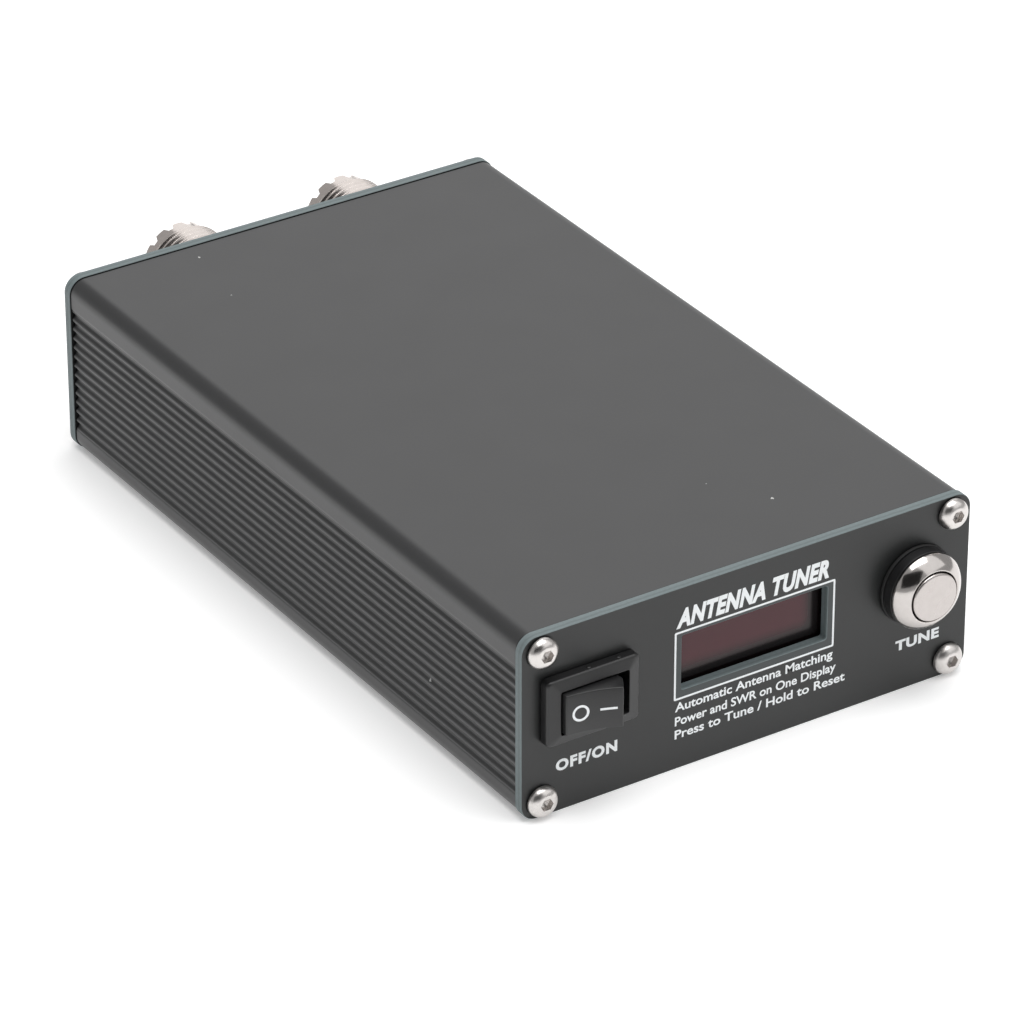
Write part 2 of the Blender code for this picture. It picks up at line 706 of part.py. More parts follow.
def socket_shell_mesh():
    """Threaded barrel of an aerial socket, its mouth towards +y, seated at y = 0."""
    angles = lip_angles()

    def ring(radius, y, notched=0.0):
        points = []
        for degrees, in_notch in angles:
            a = math.radians(degrees)
            depth = notched if in_notch else 0.0
            points.append((radius * math.cos(a), y - depth, radius * math.sin(a)))
        return points

    back = -PANEL_T - SEAT
    end = SOCKET_LENGTH + LIP_LENGTH
    inner = INSULATOR_R + BORE_CLEARANCE
    shoulder = SOCKET_R + SHOULDER_LAP
    rings = [
        ring(inner, back - SHOULDER_T),
        ring(shoulder, back - SHOULDER_T),
        ring(shoulder, back),
    ]
    root = SOCKET_R - THREAD_DEPTH
    pitch = (SOCKET_LENGTH - back) / THREAD_COUNT
    for i in range(THREAD_COUNT):
        rings.append(ring(root, back + pitch * i))
        rings.append(ring(SOCKET_R, back + pitch * (i + 0.5)))
    rings += [
        ring(root, SOCKET_LENGTH),
        ring(LIP_R, SOCKET_LENGTH),
        ring(LIP_R, end, NOTCH_DEPTH),
        ring(MOUTH_R, end, NOTCH_DEPTH),
        ring(MOUTH_R, end - MOUTH_DEPTH),
        ring(inner, end - MOUTH_DEPTH),
    ]
    return loft_mesh("socket_shell", rings, closed=True)


def make_sockets(nickel, ptfe, steel):
    shell = socket_shell_mesh()
    end = SOCKET_LENGTH + LIP_LENGTH
    back = -PANEL_T - SEAT - SHOULDER_T
    bore = CONTACT_TUBE_R + BORE_CLEARANCE
    face = end - MOUTH_DEPTH
    start = back - INSULATOR_BACK
    insulator = [(bore, start), (INSULATOR_R, start), (INSULATOR_R, face), (bore, face)]
    tip = end - CONTACT_RECESS
    neck = start - SEAT
    contact = [
        (SOLDER_CUP_R, back - SOLDER_CUP),
        (SOLDER_CUP_R, neck),
        (CONTACT_TUBE_R, neck),
        (CONTACT_TUBE_R, tip),
        (CONTACT_BORE_R, tip),
        (CONTACT_BORE_R, tip - CONTACT_BORE_DEPTH),
    ]
    inner = SOCKET_R + BORE_CLEARANCE
    outer = SOCKET_R + WASHER_LAP
    front = SEAT + WASHER_T
    washer = [(inner, SEAT), (outer, SEAT), (outer, front), (inner, front)]
    insulator_data = turned_mesh("socket_insulator", insulator, closed=True)
    contact_data = turned_mesh("socket_contact", contact, count=16)
    washer_data = turned_mesh("socket_washer", washer, closed=True)
    seat = OVERALL + 2 * SEAT + WASHER_T
    for name, x in zip(("rf_socket_1", "rf_socket_2"), SOCKET_X):
        place = (x, OVERALL, SOCKET_Z)
        add_piece(f"{name}_shell", shell, nickel, place)
        add_piece(f"{name}_insulator", insulator_data, ptfe, place)
        add_piece(f"{name}_contact", contact_data, nickel, place)
        add_piece(f"{name}_washer", washer_data, steel, place)
        nut_place = (x, seat, SOCKET_Z)
        make_nut(f"{name}_nut", SOCKET_R, SOCKET_NUT_WALL, SOCKET_NUT_T, steel, nut_place)


def make_jack(metal, plastic, brass):
    """Round supply socket; its mouth faces the back."""
    place = (JACK_X, OVERALL, SOCKET_Z)
    mouth = SEAT + JACK_FLANGE_T
    rear = mouth - JACK_DEPTH - JACK_BASE_T
    hollow = JACK_R - JACK_WALL
    flange = JACK_R + JACK_FLANGE_LAP
    body = [
        (hollow, rear),
        (JACK_R, rear),
        (JACK_R, SEAT),
        (flange, SEAT),
        (flange, mouth - JACK_CHAMFER),
        (flange - JACK_CHAMFER, mouth),
        (hollow, mouth),
    ]
    add_piece("dc_jack_body", turned_mesh("dc_jack_body", body, closed=True), metal, place)
    core = hollow - SEAT
    bore = JACK_PIN_R + SEAT
    base = [(bore, rear), (core, rear), (core, rear + JACK_BASE_T), (bore, rear + JACK_BASE_T)]
    add_piece("dc_jack_insulator", turned_mesh("dc_jack_insulator", base, closed=True), plastic, place)
    tip = mouth - JACK_PIN_RECESS
    pin = [(JACK_PIN_R, rear - JACK_TAIL), (JACK_PIN_R, tip - 0.4), (JACK_PIN_R * 0.5, tip)]
    add_piece("dc_jack_pin", turned_mesh("dc_jack_pin", pin, count=12), brass, place)
    nut_place = (JACK_X, OVERALL - PANEL_T - SEAT - JACK_NUT_T, SOCKET_Z)
    make_nut("dc_jack_nut", JACK_R, JACK_NUT_WALL, JACK_NUT_T, metal, nut_place)


def relay_bank_mesh(name):
    """Box relays side by side, joined by the thin web of their shared carrier."""
    start = -(RELAY_PITCH * (RELAY_COUNT - 1) + RELAY_L) / 2
    profile = [(start, 0.0)]
    for i in range(RELAY_COUNT):
        low = start + i * RELAY_PITCH
        if i:
            profile.append((low, RELAY_WEB))
        profile.append((low, RELAY_H))
        profile.append((low + RELAY_L, RELAY_H))
        if i < RELAY_COUNT - 1:
            profile.append((low + RELAY_L, RELAY_WEB))
    profile.append((-start, 0.0))
    rings = [[(x, y, z) for y, z in profile] for x in (-RELAY_W / 2, RELAY_W / 2)]
    return loft_mesh(name, rings, smooth=False)


def winding_points():
    """A wire laid round the square section of the toroid, turn after turn."""
    off = WIRE_R + SEAT
    middle = (TOROID_OUTER_R + TOROID_INNER_R) / 2
    half = (TOROID_OUTER_R - TOROID_INNER_R) / 2
    tall = TOROID_H / 2
    section = [
        (half + off, -tall), (half + off, tall), (half, tall + off), (-half, tall + off),
        (-half - off, tall), (-half - off, -tall), (-half, -tall - off), (half, -tall - off),
    ]
    total = WINDING_TURNS * len(section)
    points = []
    for i in range(total + 1):
        along, up = section[i % len(section)]
        a = math.radians(WINDING_SPAN) * i / total
        points.append(((middle + along) * math.cos(a), (middle + along) * math.sin(a), up))
    return points


def make_toroids(ferrite, copper):
    lift = TOROID_H / 2 + 2 * WIRE_R + 2 * SEAT
    ring = [disc(TOROID_OUTER_R), disc(TOROID_INNER_R)]
    core = prism_mesh("toroid_core", ring, -TOROID_H / 2, TOROID_H / 2, axis="z", smooth=True)
    wire = tube_curve("toroid_winding", winding_points(), WIRE_R, 0)
    for name, y in zip(("inductor_1", "inductor_2"), TOROID_Y):
        place = (0.0, y, BOARD_TOP + lift)
        add_piece(f"{name}_core", core, ferrite, place)
        add_piece(f"{name}_winding", wire, copper, place)


def make_board(board, relay, ferrite, copper, chip, metal, sleeve):
    half = ROOM_HALF - SEAT
    start = PANEL_T + SEAT + BOARD_FRONT_GAP
    end = OVERALL - PANEL_T - SEAT - SHOULDER_T - BOARD_BACK_GAP
    plate = block_mesh("main_board", (-half, start, BOARD_Z), (half, end, BOARD_Z + BOARD_T))
    add_piece("main_board", plate, board)

    bank = relay_bank_mesh("relay_bank")
    add_piece("capacitor_relays", bank, relay, (-RELAY_ROW_X, RELAY_ROW_Y, BOARD_TOP))
    add_piece("inductor_relays", bank, relay, (RELAY_ROW_X, RELAY_ROW_Y, BOARD_TOP))
    make_toroids(ferrite, copper)

    wide, deep, tall = COUPLER_SIZE
    holes = [disc(COUPLER_HOLE_R, (side * COUPLER_HOLE_SPREAD, tall / 2), 16) for side in (-1, 1)]
    outline = rounded_box(wide, tall, COUPLER_CORNER_R, (0.0, tall / 2))
    data = prism_mesh("coupler_core", [outline, *holes], -deep / 2, deep / 2)
    add_piece("coupler_core", data, ferrite, (0.0, OVERALL - COUPLER_FROM_BACK, BOARD_TOP))

    wide, deep, tall = CONTROLLER_SIZE
    data = block_mesh("controller_chip", (-wide / 2, -deep / 2, 0.0), (wide / 2, deep / 2, tall))
    add_piece("controller_chip", data, chip, (*CONTROLLER_PLACE, BOARD_TOP))

    wide, deep, tall = REGULATOR_SIZE
    lift = BOARD_TOP + REGULATOR_TAB_T + SEAT
    data = block_mesh("regulator_case", (-wide / 2, -deep / 2, 0.0), (wide / 2, deep / 2, tall))
    add_piece("regulator_case", data, chip, (*REGULATOR_PLACE, lift))
    far = (wide / 2, deep / 2 + REGULATOR_TAB, REGULATOR_TAB_T)
    data = block_mesh("regulator_tab", (-wide / 2, -deep / 2, 0.0), far)
    add_piece("regulator_tab", data, metal, (*REGULATOR_PLACE, BOARD_TOP))

    outline = disc(RESERVOIR_R, count=16)
    data = prism_mesh("reservoir_capacitor", [outline], 0.0, RESERVOIR_H, axis="z", smooth=True)
    add_piece("reservoir_capacitor", data, sleeve, (*RESERVOIR_PLACE, BOARD_TOP))


def make_leads(copper):
    """Stiff wires from the socket contacts down to the board."""
    back = OVERALL - PANEL_T - SEAT - SHOULDER_T - SOLDER_CUP - SEAT
    for name, x in zip(("rf_lead_1", "rf_lead_2"), SOCKET_X):
        points = []
        drop = SOCKET_Z - BOARD_TOP - LEAD_R
        for i in range(9):
            t = i / 8
            points.append((x, back - drop * 0.45 * math.sin(t * math.pi / 2), SOCKET_Z - drop * t * t))
        add_piece(name, tube_curve(name, points, LEAD_R, 1), copper)


clear_scene()
FRAME = make_frame()

anodised = make_material("anodised_aluminium", (0.035, 0.035, 0.036), 0.45, 0.6)
panel_board = make_material("black_panel_laminate", (0.02, 0.021, 0.021), 0.5)
stainless = make_material("stainless_steel", (0.55, 0.54, 0.52), 0.3, 1.0)
black_plastic = make_material("black_nylon", (0.02, 0.02, 0.021), 0.45)
black_rubber = make_material("black_rubber", (0.012, 0.012, 0.012), 0.7)
chrome = make_material("chromed_brass", (0.7, 0.68, 0.66), 0.08, 1.0)
nickel = make_material("nickel_plated_brass", (0.6, 0.57, 0.54), 0.2, 1.0)
brass = make_material("brass", (0.6, 0.42, 0.16), 0.35, 1.0)
ptfe = make_material("white_ptfe", (0.75, 0.74, 0.7), 0.5)
tinted = make_material("tinted_acrylic", (0.07, 0.035, 0.04), 0.15)
display_glass = make_material("display_glass", (0.02, 0.015, 0.018), 0.1)
circuit = make_material("circuit_laminate", (0.02, 0.09, 0.04), 0.45)
relay_plastic = make_material("relay_cover", (0.03, 0.06, 0.14), 0.4)
iron_powder = make_material("iron_powder_core", (0.35, 0.05, 0.03), 0.6)
copper_wire = make_material("enamelled_copper", (0.45, 0.16, 0.06), 0.3, 1.0)
chip_epoxy = make_material("chip_epoxy", (0.015, 0.015, 0.016), 0.5)
sleeve_film = make_material("capacitor_sleeve", (0.02, 0.03, 0.08), 0.35)

make_case(anodised)
make_panels(panel_board)
make_screws(stainless)
make_switch(black_plastic, brass)
make_button(black_plastic, black_rubber, chrome, brass, stainless)
make_display(tinted, display_glass, circuit)
make_sockets(nickel, ptfe, stainless)
make_jack(nickel, black_plastic, brass)
make_board(circuit, relay_plastic, iron_powder, copper_wire, chip_epoxy, stainless, sleeve_film)
make_leads(copper_wire)
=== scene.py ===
"""Compact automatic antenna tuner in a plain studio.

Lengths are in millimetres in the tuner's own frame: x to the right seen from the
front, y from the front panel's outer face towards the back, z up from the bottom.
"""
import math

import bmesh
import bpy
import numpy as np
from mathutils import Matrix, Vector
from mathutils.geometry import tessellate_polygon


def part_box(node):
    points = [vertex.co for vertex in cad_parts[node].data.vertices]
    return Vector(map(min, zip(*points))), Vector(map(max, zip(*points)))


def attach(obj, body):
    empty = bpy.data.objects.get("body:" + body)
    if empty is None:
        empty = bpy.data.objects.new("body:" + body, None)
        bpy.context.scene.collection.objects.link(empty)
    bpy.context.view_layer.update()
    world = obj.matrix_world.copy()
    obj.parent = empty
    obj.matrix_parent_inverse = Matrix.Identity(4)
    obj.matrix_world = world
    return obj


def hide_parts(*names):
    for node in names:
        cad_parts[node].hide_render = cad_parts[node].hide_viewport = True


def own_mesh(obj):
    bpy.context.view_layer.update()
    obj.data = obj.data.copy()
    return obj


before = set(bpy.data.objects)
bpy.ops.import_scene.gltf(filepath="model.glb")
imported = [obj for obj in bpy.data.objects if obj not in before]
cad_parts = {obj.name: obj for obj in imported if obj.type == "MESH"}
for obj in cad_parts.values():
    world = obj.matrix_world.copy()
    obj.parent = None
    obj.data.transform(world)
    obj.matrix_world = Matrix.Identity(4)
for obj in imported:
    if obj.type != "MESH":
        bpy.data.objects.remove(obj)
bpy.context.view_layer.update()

# ---------------------------------------------------------------------------
# Case: one length of extruded aluminium tube, grooved along both sides as it
# leaves the die, with rails and screw channels inside. It is bead blasted and
# anodised black, and the end panels screw into its channels.

MM = 0.001
SEAT = 0.2                          # air left between pieces that touch
panel_low, panel_high = (np.array(corner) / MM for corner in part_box("front_panel"))
case_low, case_high = (np.array(corner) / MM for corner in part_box("case_extrusion"))
FRONT = panel_low[1]
WIDTH = panel_high[0] - panel_low[0]
HEIGHT = panel_high[2] - panel_low[2]
PANEL_T = panel_high[1] - panel_low[1]
CASE_INSET = case_low[2] - panel_low[2]
CASE_START = case_low[1] - FRONT
CASE_END = case_high[1] - FRONT
PANEL_R = 3.0

GROOVES = 13
GROOVE_PITCH = 1.82
GROOVE_W = 1.3
GROOVE_DEPTH = 0.5
GROOVE_TOP = 6.1
GROOVE_FIELD = 0.12                 # how far the lands between grooves lie below the plain band
GROOVE_ROUND = 0.36
WALL_SIDE = 2.3
WALL_FLAT = 1.6
CHANNEL_X = WIDTH / 2 - 3.8
CHANNEL_Z = 3.15
CHANNEL_R = 2.8
SCREW_BORE = 1.6
RAIL_REACH = 2.0
RAIL_T = 1.2
ARRIS = 0.08                        # broken edge at the sawn ends


def soften(corners, radius, closed=True, steps=4):
    """Round the corners of a profile.

    Each corner P becomes the curve (1-s)^2 A + 2 s (1-s) P + s^2 B, where A and B
    lie on its two sides at the radius or at most 0.4 of the side. A further point
    just outside A and B keeps the flats flat when the surface is shaded smooth.
    """
    p = np.asarray(corners, float)
    behind = np.roll(p, 1, 0) - p
    ahead = np.roll(p, -1, 0) - p
    long_behind = np.linalg.norm(behind, axis=1, keepdims=True)
    long_ahead = np.linalg.norm(ahead, axis=1, keepdims=True)
    trim_a = np.minimum(radius, 0.4 * long_behind)
    trim_b = np.minimum(radius, 0.4 * long_ahead)
    a = p + behind / long_behind * trim_a
    b = p + ahead / long_ahead * trim_b
    s = np.linspace(0.0, 1.0, steps)[None, :, None]
    curve = (1 - s) ** 2 * a[:, None] + 2 * s * (1 - s) * p[:, None] + s**2 * b[:, None]
    before = (p + behind / long_behind * trim_a * 1.15)[:, None]
    after = (p + ahead / long_ahead * trim_b * 1.15)[:, None]
    run = np.concatenate([before, curve, after], axis=1)
    if closed:
        return run.reshape(-1, p.shape[1])
    middle = run[1:-1].reshape(-1, p.shape[1])
    return np.concatenate([p[:1], middle, p[-1:]])


def arc(x, z, radius, start, end, steps=16):
    """Points (x + r cos a, z + r sin a) for a from start to end, in degrees."""
    a = np.radians(np.linspace(start, end, steps))
    return np.stack([x + radius * np.cos(a), z + radius * np.sin(a)], axis=1)


def rounded_outline(width, height, radius, x=0.0, z=0.0, steps=12):
    """Counter-clockwise rectangle with round corners; each flat starts just past its corner."""
    hold = 0.1
    quarter = arc(0.0, 0.0, radius, 0.0, 90.0, steps)
    quarter = np.concatenate([[[radius, -hold]], quarter, [[-hold, radius]]])
    turns = [np.array([[math.cos(t), math.sin(t)], [-math.sin(t), math.cos(t)]])
             for t in np.radians([0, 90, 180, 270])]
    half = [width / 2 - radius, height / 2 - radius]
    centres = np.array([[1, 1], [-1, 1], [-1, -1], [1, -1]]) * half
    corners = [quarter @ turn + centre for turn, centre in zip(turns, centres)]
    return np.concatenate(corners) + [x, z]


def inset(loop, amount):
    """Move each corner of a closed outline to its left by p + n * amount / (1 + n1.n2)."""
    ahead = np.roll(loop, -1, 0) - loop
    normal = np.stack([-ahead[:, 1], ahead[:, 0]], axis=1)
    normal /= np.linalg.norm(normal, axis=1, keepdims=True)
    before = np.roll(normal, 1, 0)
    joint = (normal + before) / (1 + (normal * before).sum(1, keepdims=True))
    return loop + amount * joint


def grid_faces(rows, columns, wrap_rows, wrap_columns):
    """Corner numbers of every cell of a grid, which closes on itself where it wraps."""
    r = np.arange(rows if wrap_rows else rows - 1)[:, None]
    c = np.arange(columns if wrap_columns else columns - 1)[None, :]
    r_next = (r + 1) % rows
    c_next = (c + 1) % columns
    cells = [r * columns + c, r * columns + c_next, r_next * columns + c_next, r_next * columns + c]
    return np.stack(cells, axis=-1).reshape(-1, 4)


def solid(name, points, faces, sharp=32.0):
    """Mesh of points in millimetres, merged where they meet, outward and smooth up to sharp degrees."""
    data = bpy.data.meshes.new(name)
    world = (np.asarray(points, float).reshape(-1, 3) + [0.0, FRONT, 0.0]) * MM
    data.from_pydata(world.tolist(), [], [list(face) for face in faces])
    shell = bmesh.new()
    shell.from_mesh(data)
    bmesh.ops.remove_doubles(shell, verts=shell.verts, dist=1e-7)
    bmesh.ops.recalc_face_normals(shell, faces=shell.faces)
    shell.to_mesh(data)
    shell.free()
    data.shade_smooth()
    data.set_sharp_from_angle(angle=math.radians(sharp))
    return data


def carried(name, loops, rows, along="y"):
    """Outline with holes carried through rows of (inset, height), with flat ends.

    Outer loops run counter-clockwise and holes clockwise, so an inset always goes
    into the material: P(row, k) = inset(loop, row inset)[k] at the row's height.
    """
    points, faces, offset = [], [], 0
    for loop in loops:
        layers = []
        for amount, height in rows:
            flat = inset(loop, amount)
            level = np.full((len(flat), 1), height)
            order = [flat[:, :1], level, flat[:, 1:]] if along == "y" else [flat, level]
            layers.append(np.concatenate(order, axis=1))
        points += layers
        faces += (grid_faces(len(rows), len(loop), False, True) + offset).tolist()
        offset += len(rows) * len(loop)
    starts = np.cumsum([0] + [len(rows) * len(loop) for loop in loops])
    for row in (0, len(rows) - 1):
        rims = [np.pad(inset(loop, rows[row][0]), ((0, 0), (0, 1))).tolist() for loop in loops]
        numbers = np.concatenate([start + row * len(loop) + np.arange(len(loop))
                                  for start, loop in zip(starts, loops)])
        faces += numbers[np.array(tessellate_polygon(rims))].tolist()
    return solid(name, np.concatenate(points), faces)


def broken_edges(start, end, arris):
    """Rows for a straight carry from start to end whose outline is drawn in by the arris at both ends."""
    return [(arris, start), (0.0, start + arris), (0.0, end - arris), (arris, end)]


def linear(code):
    """Linear RGBA of an sRGB hex colour: c / 12.92, or ((c + 0.055) / 1.055) ^ 2.4 above 0.04045."""
    c = np.array([int(code[i:i + 2], 16) for i in (1, 3, 5)]) / 255
    return (*np.where(c <= 0.04045, c / 12.92, ((c + 0.055) / 1.055) ** 2.4), 1.0)


def node(tree, kind, inputs=None, **settings):
    """Add a shader node: settings are its own, inputs are values or the sockets that feed it."""
    made = tree.nodes.new("ShaderNode" + kind)
    for key, value in settings.items():
        setattr(made, key, value)
    for key, value in (inputs or {}).items():
        if isinstance(value, bpy.types.NodeSocket):
            tree.links.new(value, made.inputs[key])
        else:
            made.inputs[key].default_value = value
    return made


def finish(name, tones, grain, relief, roughness, spread=0.06, **uniform):
    """Material of two close tones mixed by a grain of the given size in millimetres.

    The same grain lifts the surface by relief millimetres, and a broader one moves
    the roughness by spread either way: tone = A + (B - A) * noise(p / grain).
    """
    mat = bpy.data.materials.new(name)
    mat.use_nodes = True
    tree = mat.node_tree
    shader = tree.nodes["Principled BSDF"]
    place = node(tree, "TexCoord").outputs["Object"]
    fine = node(tree, "TexNoise", {"Vector": place, "Scale": 1 / (grain * MM), "Detail": 3.0})
    broad = node(tree, "TexNoise", {"Vector": place, "Scale": 0.04 / (grain * MM), "Detail": 2.0})
    rough = node(tree, "MapRange", {"Value": broad.outputs["Fac"], "From Min": 0.3, "From Max": 0.7,
                                    "To Min": roughness - spread, "To Max": roughness + spread})
    bump = node(tree, "Bump", {"Height": fine.outputs["Fac"], "Distance": relief * MM, "Strength": 1.0})
    paint(tree, shader, fine.outputs["Fac"], linear(tones[0]), linear(tones[1]))
    tree.links.new(rough.outputs["Result"], shader.inputs["Roughness"])
    tree.links.new(bump.outputs["Normal"], shader.inputs["Normal"])
    for key, value in uniform.items():
        shader.inputs[key.replace("_", " ").title().replace("Ior", "IOR")].default_value = value
    return mat


def parts_of(material):
    """Node tree, shader, tone socket and object coordinates of a material made by finish."""
    tree = material.node_tree
    shader = tree.nodes["Principled BSDF"]
    tone = shader.inputs["Base Color"].links[0].from_socket
    return tree, shader, tone, tree.nodes["Texture Coordinate"].outputs["Object"]


def paint(tree, shader, factor, first, second):
    """Base colour first + (second - first) * factor."""
    mixed = node(tree, "Mix", {"Factor": factor, "A": first, "B": second}, data_type="RGBA")
    tree.links.new(mixed.outputs["Result"], shader.inputs["Base Color"])


def piece(name, data, body, material, stands_for=None):
    """Put a finished mesh in the scene: it rides on a body and stands for a CAD node."""
    made = bpy.data.objects.new(name, data)
    bpy.context.scene.collection.objects.link(made)
    for one in material if isinstance(material, tuple) else (material,):
        data.materials.append(one)
    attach(made, body)
    if stands_for:
        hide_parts(stands_for)
    return made


def grooved_side():
    """Right side of the case from the bottom up: straight bands with the grooves between."""
    crest = WIDTH / 2 - CASE_INSET
    face = crest - GROOVE_FIELD
    first = HEIGHT - GROOVE_TOP - GROOVE_W - GROOVE_PITCH * (GROOVES - 1)
    lean = GROOVE_W * 0.32
    cut = np.array([[face, 0.0], [face - GROOVE_DEPTH, lean], [face - GROOVE_DEPTH, GROOVE_W - lean],
                    [face, GROOVE_W]])
    lift = np.arange(GROOVES)[:, None, None] * [0.0, GROOVE_PITCH]
    cuts = (cut[None] + lift + [0.0, first]).reshape(-1, 2)
    last = HEIGHT - GROOVE_TOP + GROOVE_PITCH - GROOVE_W
    ends = np.array([[crest, PANEL_R + 0.3], [crest, first - 0.45], [face, first - 0.35]])
    over = np.array([[face, last], [crest, last + 0.1], [crest, HEIGHT - PANEL_R - 0.3]])
    return soften(np.concatenate([ends, cuts, over]), GROOVE_ROUND, closed=False, steps=3)


def case_outside():
    """Outer outline: round corners joined by the grooved sides, left half mirrored."""
    half = WIDTH / 2 - CASE_INSET
    radius = PANEL_R - CASE_INSET
    low = arc(half - radius, CASE_INSET + radius, radius, -90.0, 0.0)
    high = arc(half - radius, HEIGHT - CASE_INSET - radius, radius, 0.0, 90.0)
    hold = np.array([[half - radius - 0.15, CASE_INSET]])
    top_hold = np.array([[half - radius - 0.15, HEIGHT - CASE_INSET]])
    right = np.concatenate([hold, low, grooved_side(), high, top_hold])
    return np.concatenate([right, right[::-1] * [-1, 1]])


def case_inside():
    """Clockwise inner outline: board rails on both sides and a slit screw channel in each corner."""
    side = WIDTH / 2 - CASE_INSET - WALL_SIDE
    flat = HEIGHT - CASE_INSET - WALL_FLAT
    z = HEIGHT - CHANNEL_Z
    fall = math.degrees(math.acos((side - CHANNEL_X) / CHANNEL_R))
    rise = math.degrees(math.asin((flat - z) / CHANNEL_R))
    upper = np.concatenate([
        arc(CHANNEL_X, z, CHANNEL_R, 360.0 - fall, 237.0, 6),
        arc(CHANNEL_X, z, SCREW_BORE, 247.0, 563.0, 20),
        arc(CHANNEL_X, z, CHANNEL_R, 213.0, 180.0 - rise, 6),
    ])
    lower = upper[::-1] * [1, -1] + [0, HEIGHT]
    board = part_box("main_board")
    rail_low = board[0][2] / MM - SEAT
    rail_high = board[1][2] / MM + SEAT
    reach = side - RAIL_REACH
    rails = np.array([[side, rail_low - RAIL_T], [reach, rail_low - RAIL_T], [reach, rail_low],
                      [side, rail_low], [side, rail_high], [reach, rail_high], [reach, rail_high + RAIL_T],
                      [side, rail_high + RAIL_T]])
    right = np.concatenate([lower, rails, upper])
    return np.concatenate([right, right[::-1] * [-1, 1]])[::-1]


# Black anodised aluminium: a dyed oxide skin over a bead-blasted face gives an even
# satin black with a soft, broad shine. The blasting pits are drawn coarser than
# they are, so that they show, and a few knocks let the bright metal through.
BLACK_OXIDE = ("#262627", "#2d2d2e")
BARE_ALUMINIUM = "#b9bab8"
BLAST_GRIT = 0.45
KNOCK_SPACING = 11.0
KNOCK_SIZE = 0.45
anodised = finish("anodised_aluminium", BLACK_OXIDE, grain=BLAST_GRIT, relief=0.004, roughness=0.37,
                  spread=0.012, IOR=1.6)
tree, shader, tone, place = parts_of(anodised)
knocks = node(tree, "TexVoronoi", {"Vector": place, "Scale": 1 / (KNOCK_SPACING * MM)})
ragged = node(tree, "TexNoise", {"Vector": place, "Scale": 1 / (0.5 * MM), "Detail": 2.0})
reach = node(tree, "MapRange", {"Value": ragged.outputs["Fac"], "From Min": 0.3, "From Max": 0.7,
                                "To Min": 0.0, "To Max": KNOCK_SIZE / KNOCK_SPACING})
struck = node(tree, "Math", {0: knocks.outputs["Distance"], 1: reach.outputs["Result"]},
              operation="LESS_THAN")
paint(tree, shader, struck.outputs[0], tone, linear(BARE_ALUMINIUM))

case_mesh = carried("case", [case_outside(), case_inside()], broken_edges(CASE_START, CASE_END, ARRIS))
piece("case", case_mesh, "case", anodised, "case_extrusion")

# ---------------------------------------------------------------------------
# End panels: routed from 1.8 mm glass-epoxy board with a black resist on both
# faces. The router leaves the grey-green glass and resin bare on every edge,
# and a strip round the display window has no resist either.

PANEL_ARRIS = 0.1
SWITCH_X = -31.56
CONTROL_Z = 19.85
OPENING_W = 13.0
OPENING_H = 8.0
SWITCH_WALL = 1.1
WINDOW_X = 1.12
WINDOW_W = 28.75
WINDOW_H = 10.2
BORDER_W = 31.6
BORDER_H = 12.8
BORDER_Z = 19.45
BUTTON_X = 33.1
BUSH_HOLE = 6.2
SOCKET_X = (-10.6, 23.5)
SOCKET_Z = 20.0
SOCKET_HOLE = 8.15
JACK_X = -31.0
JACK_HOLE = 4.1
REAR_FACE = CASE_END + SEAT


def hole(x, z, radius, steps=48):
    """Clockwise circle."""
    return arc(x, z, radius, 0.0, 360.0 * (1 - 1 / steps), steps)[::-1]


def panel(name, openings, start, body_node):
    """Round-cornered board with its screw holes and openings; cut edges take the second material."""
    screws = [hole(x, z, SCREW_BORE, 24)
              for x in (-CHANNEL_X, CHANNEL_X) for z in (CHANNEL_Z, HEIGHT - CHANNEL_Z)]
    outline = rounded_outline(WIDTH, HEIGHT, PANEL_R, 0.0, HEIGHT / 2, 16)
    data = carried(name, [outline, *screws, *openings], broken_edges(start, start + PANEL_T, PANEL_ARRIS))
    normals = np.empty(len(data.polygons) * 3, np.float32)
    data.polygons.foreach_get("normal", normals)
    edge = (np.abs(normals.reshape(-1, 3)[:, 1]) < 0.9).astype(np.int32)
    made = piece(name, data, "case", (resist, cut_laminate), body_node)
    data.polygons.foreach_set("material_index", edge)
    return made


# Solder-resist ink, satin black, rolled on: a faint orange-peel.
RESIST_BLACK = ("#1c1d1d", "#212222")
BARE_BOARD = "#363c3d"
STRIP_DEPTH = 1.0
resist = finish("black_solder_resist", RESIST_BLACK, grain=0.6, relief=0.003, roughness=0.38, spread=0.02)
tree, shader, tone, place = parts_of(resist)
border_centre = (WINDOW_X * MM, FRONT * MM, BORDER_Z * MM)
border_half = (BORDER_W / 2 * MM, STRIP_DEPTH * MM, BORDER_H / 2 * MM)
off = node(tree, "VectorMath", {0: place, 1: border_centre}, operation="SUBTRACT")
span = node(tree, "VectorMath", {0: off.outputs[0]}, operation="ABSOLUTE")
reach = node(tree, "VectorMath", {0: span.outputs[0], 1: border_half}, operation="SUBTRACT")
parts = node(tree, "SeparateXYZ", {0: reach.outputs[0]})
wide = node(tree, "Math", {0: parts.outputs["X"], 1: parts.outputs["Z"]}, operation="MAXIMUM")
deep = node(tree, "Math", {0: wide.outputs[0], 1: parts.outputs["Y"]}, operation="MAXIMUM")
inside = node(tree, "Math", {0: deep.outputs[0], 1: 0.0}, operation="LESS_THAN")
paint(tree, shader, inside.outputs[0], tone, linear(BARE_BOARD))

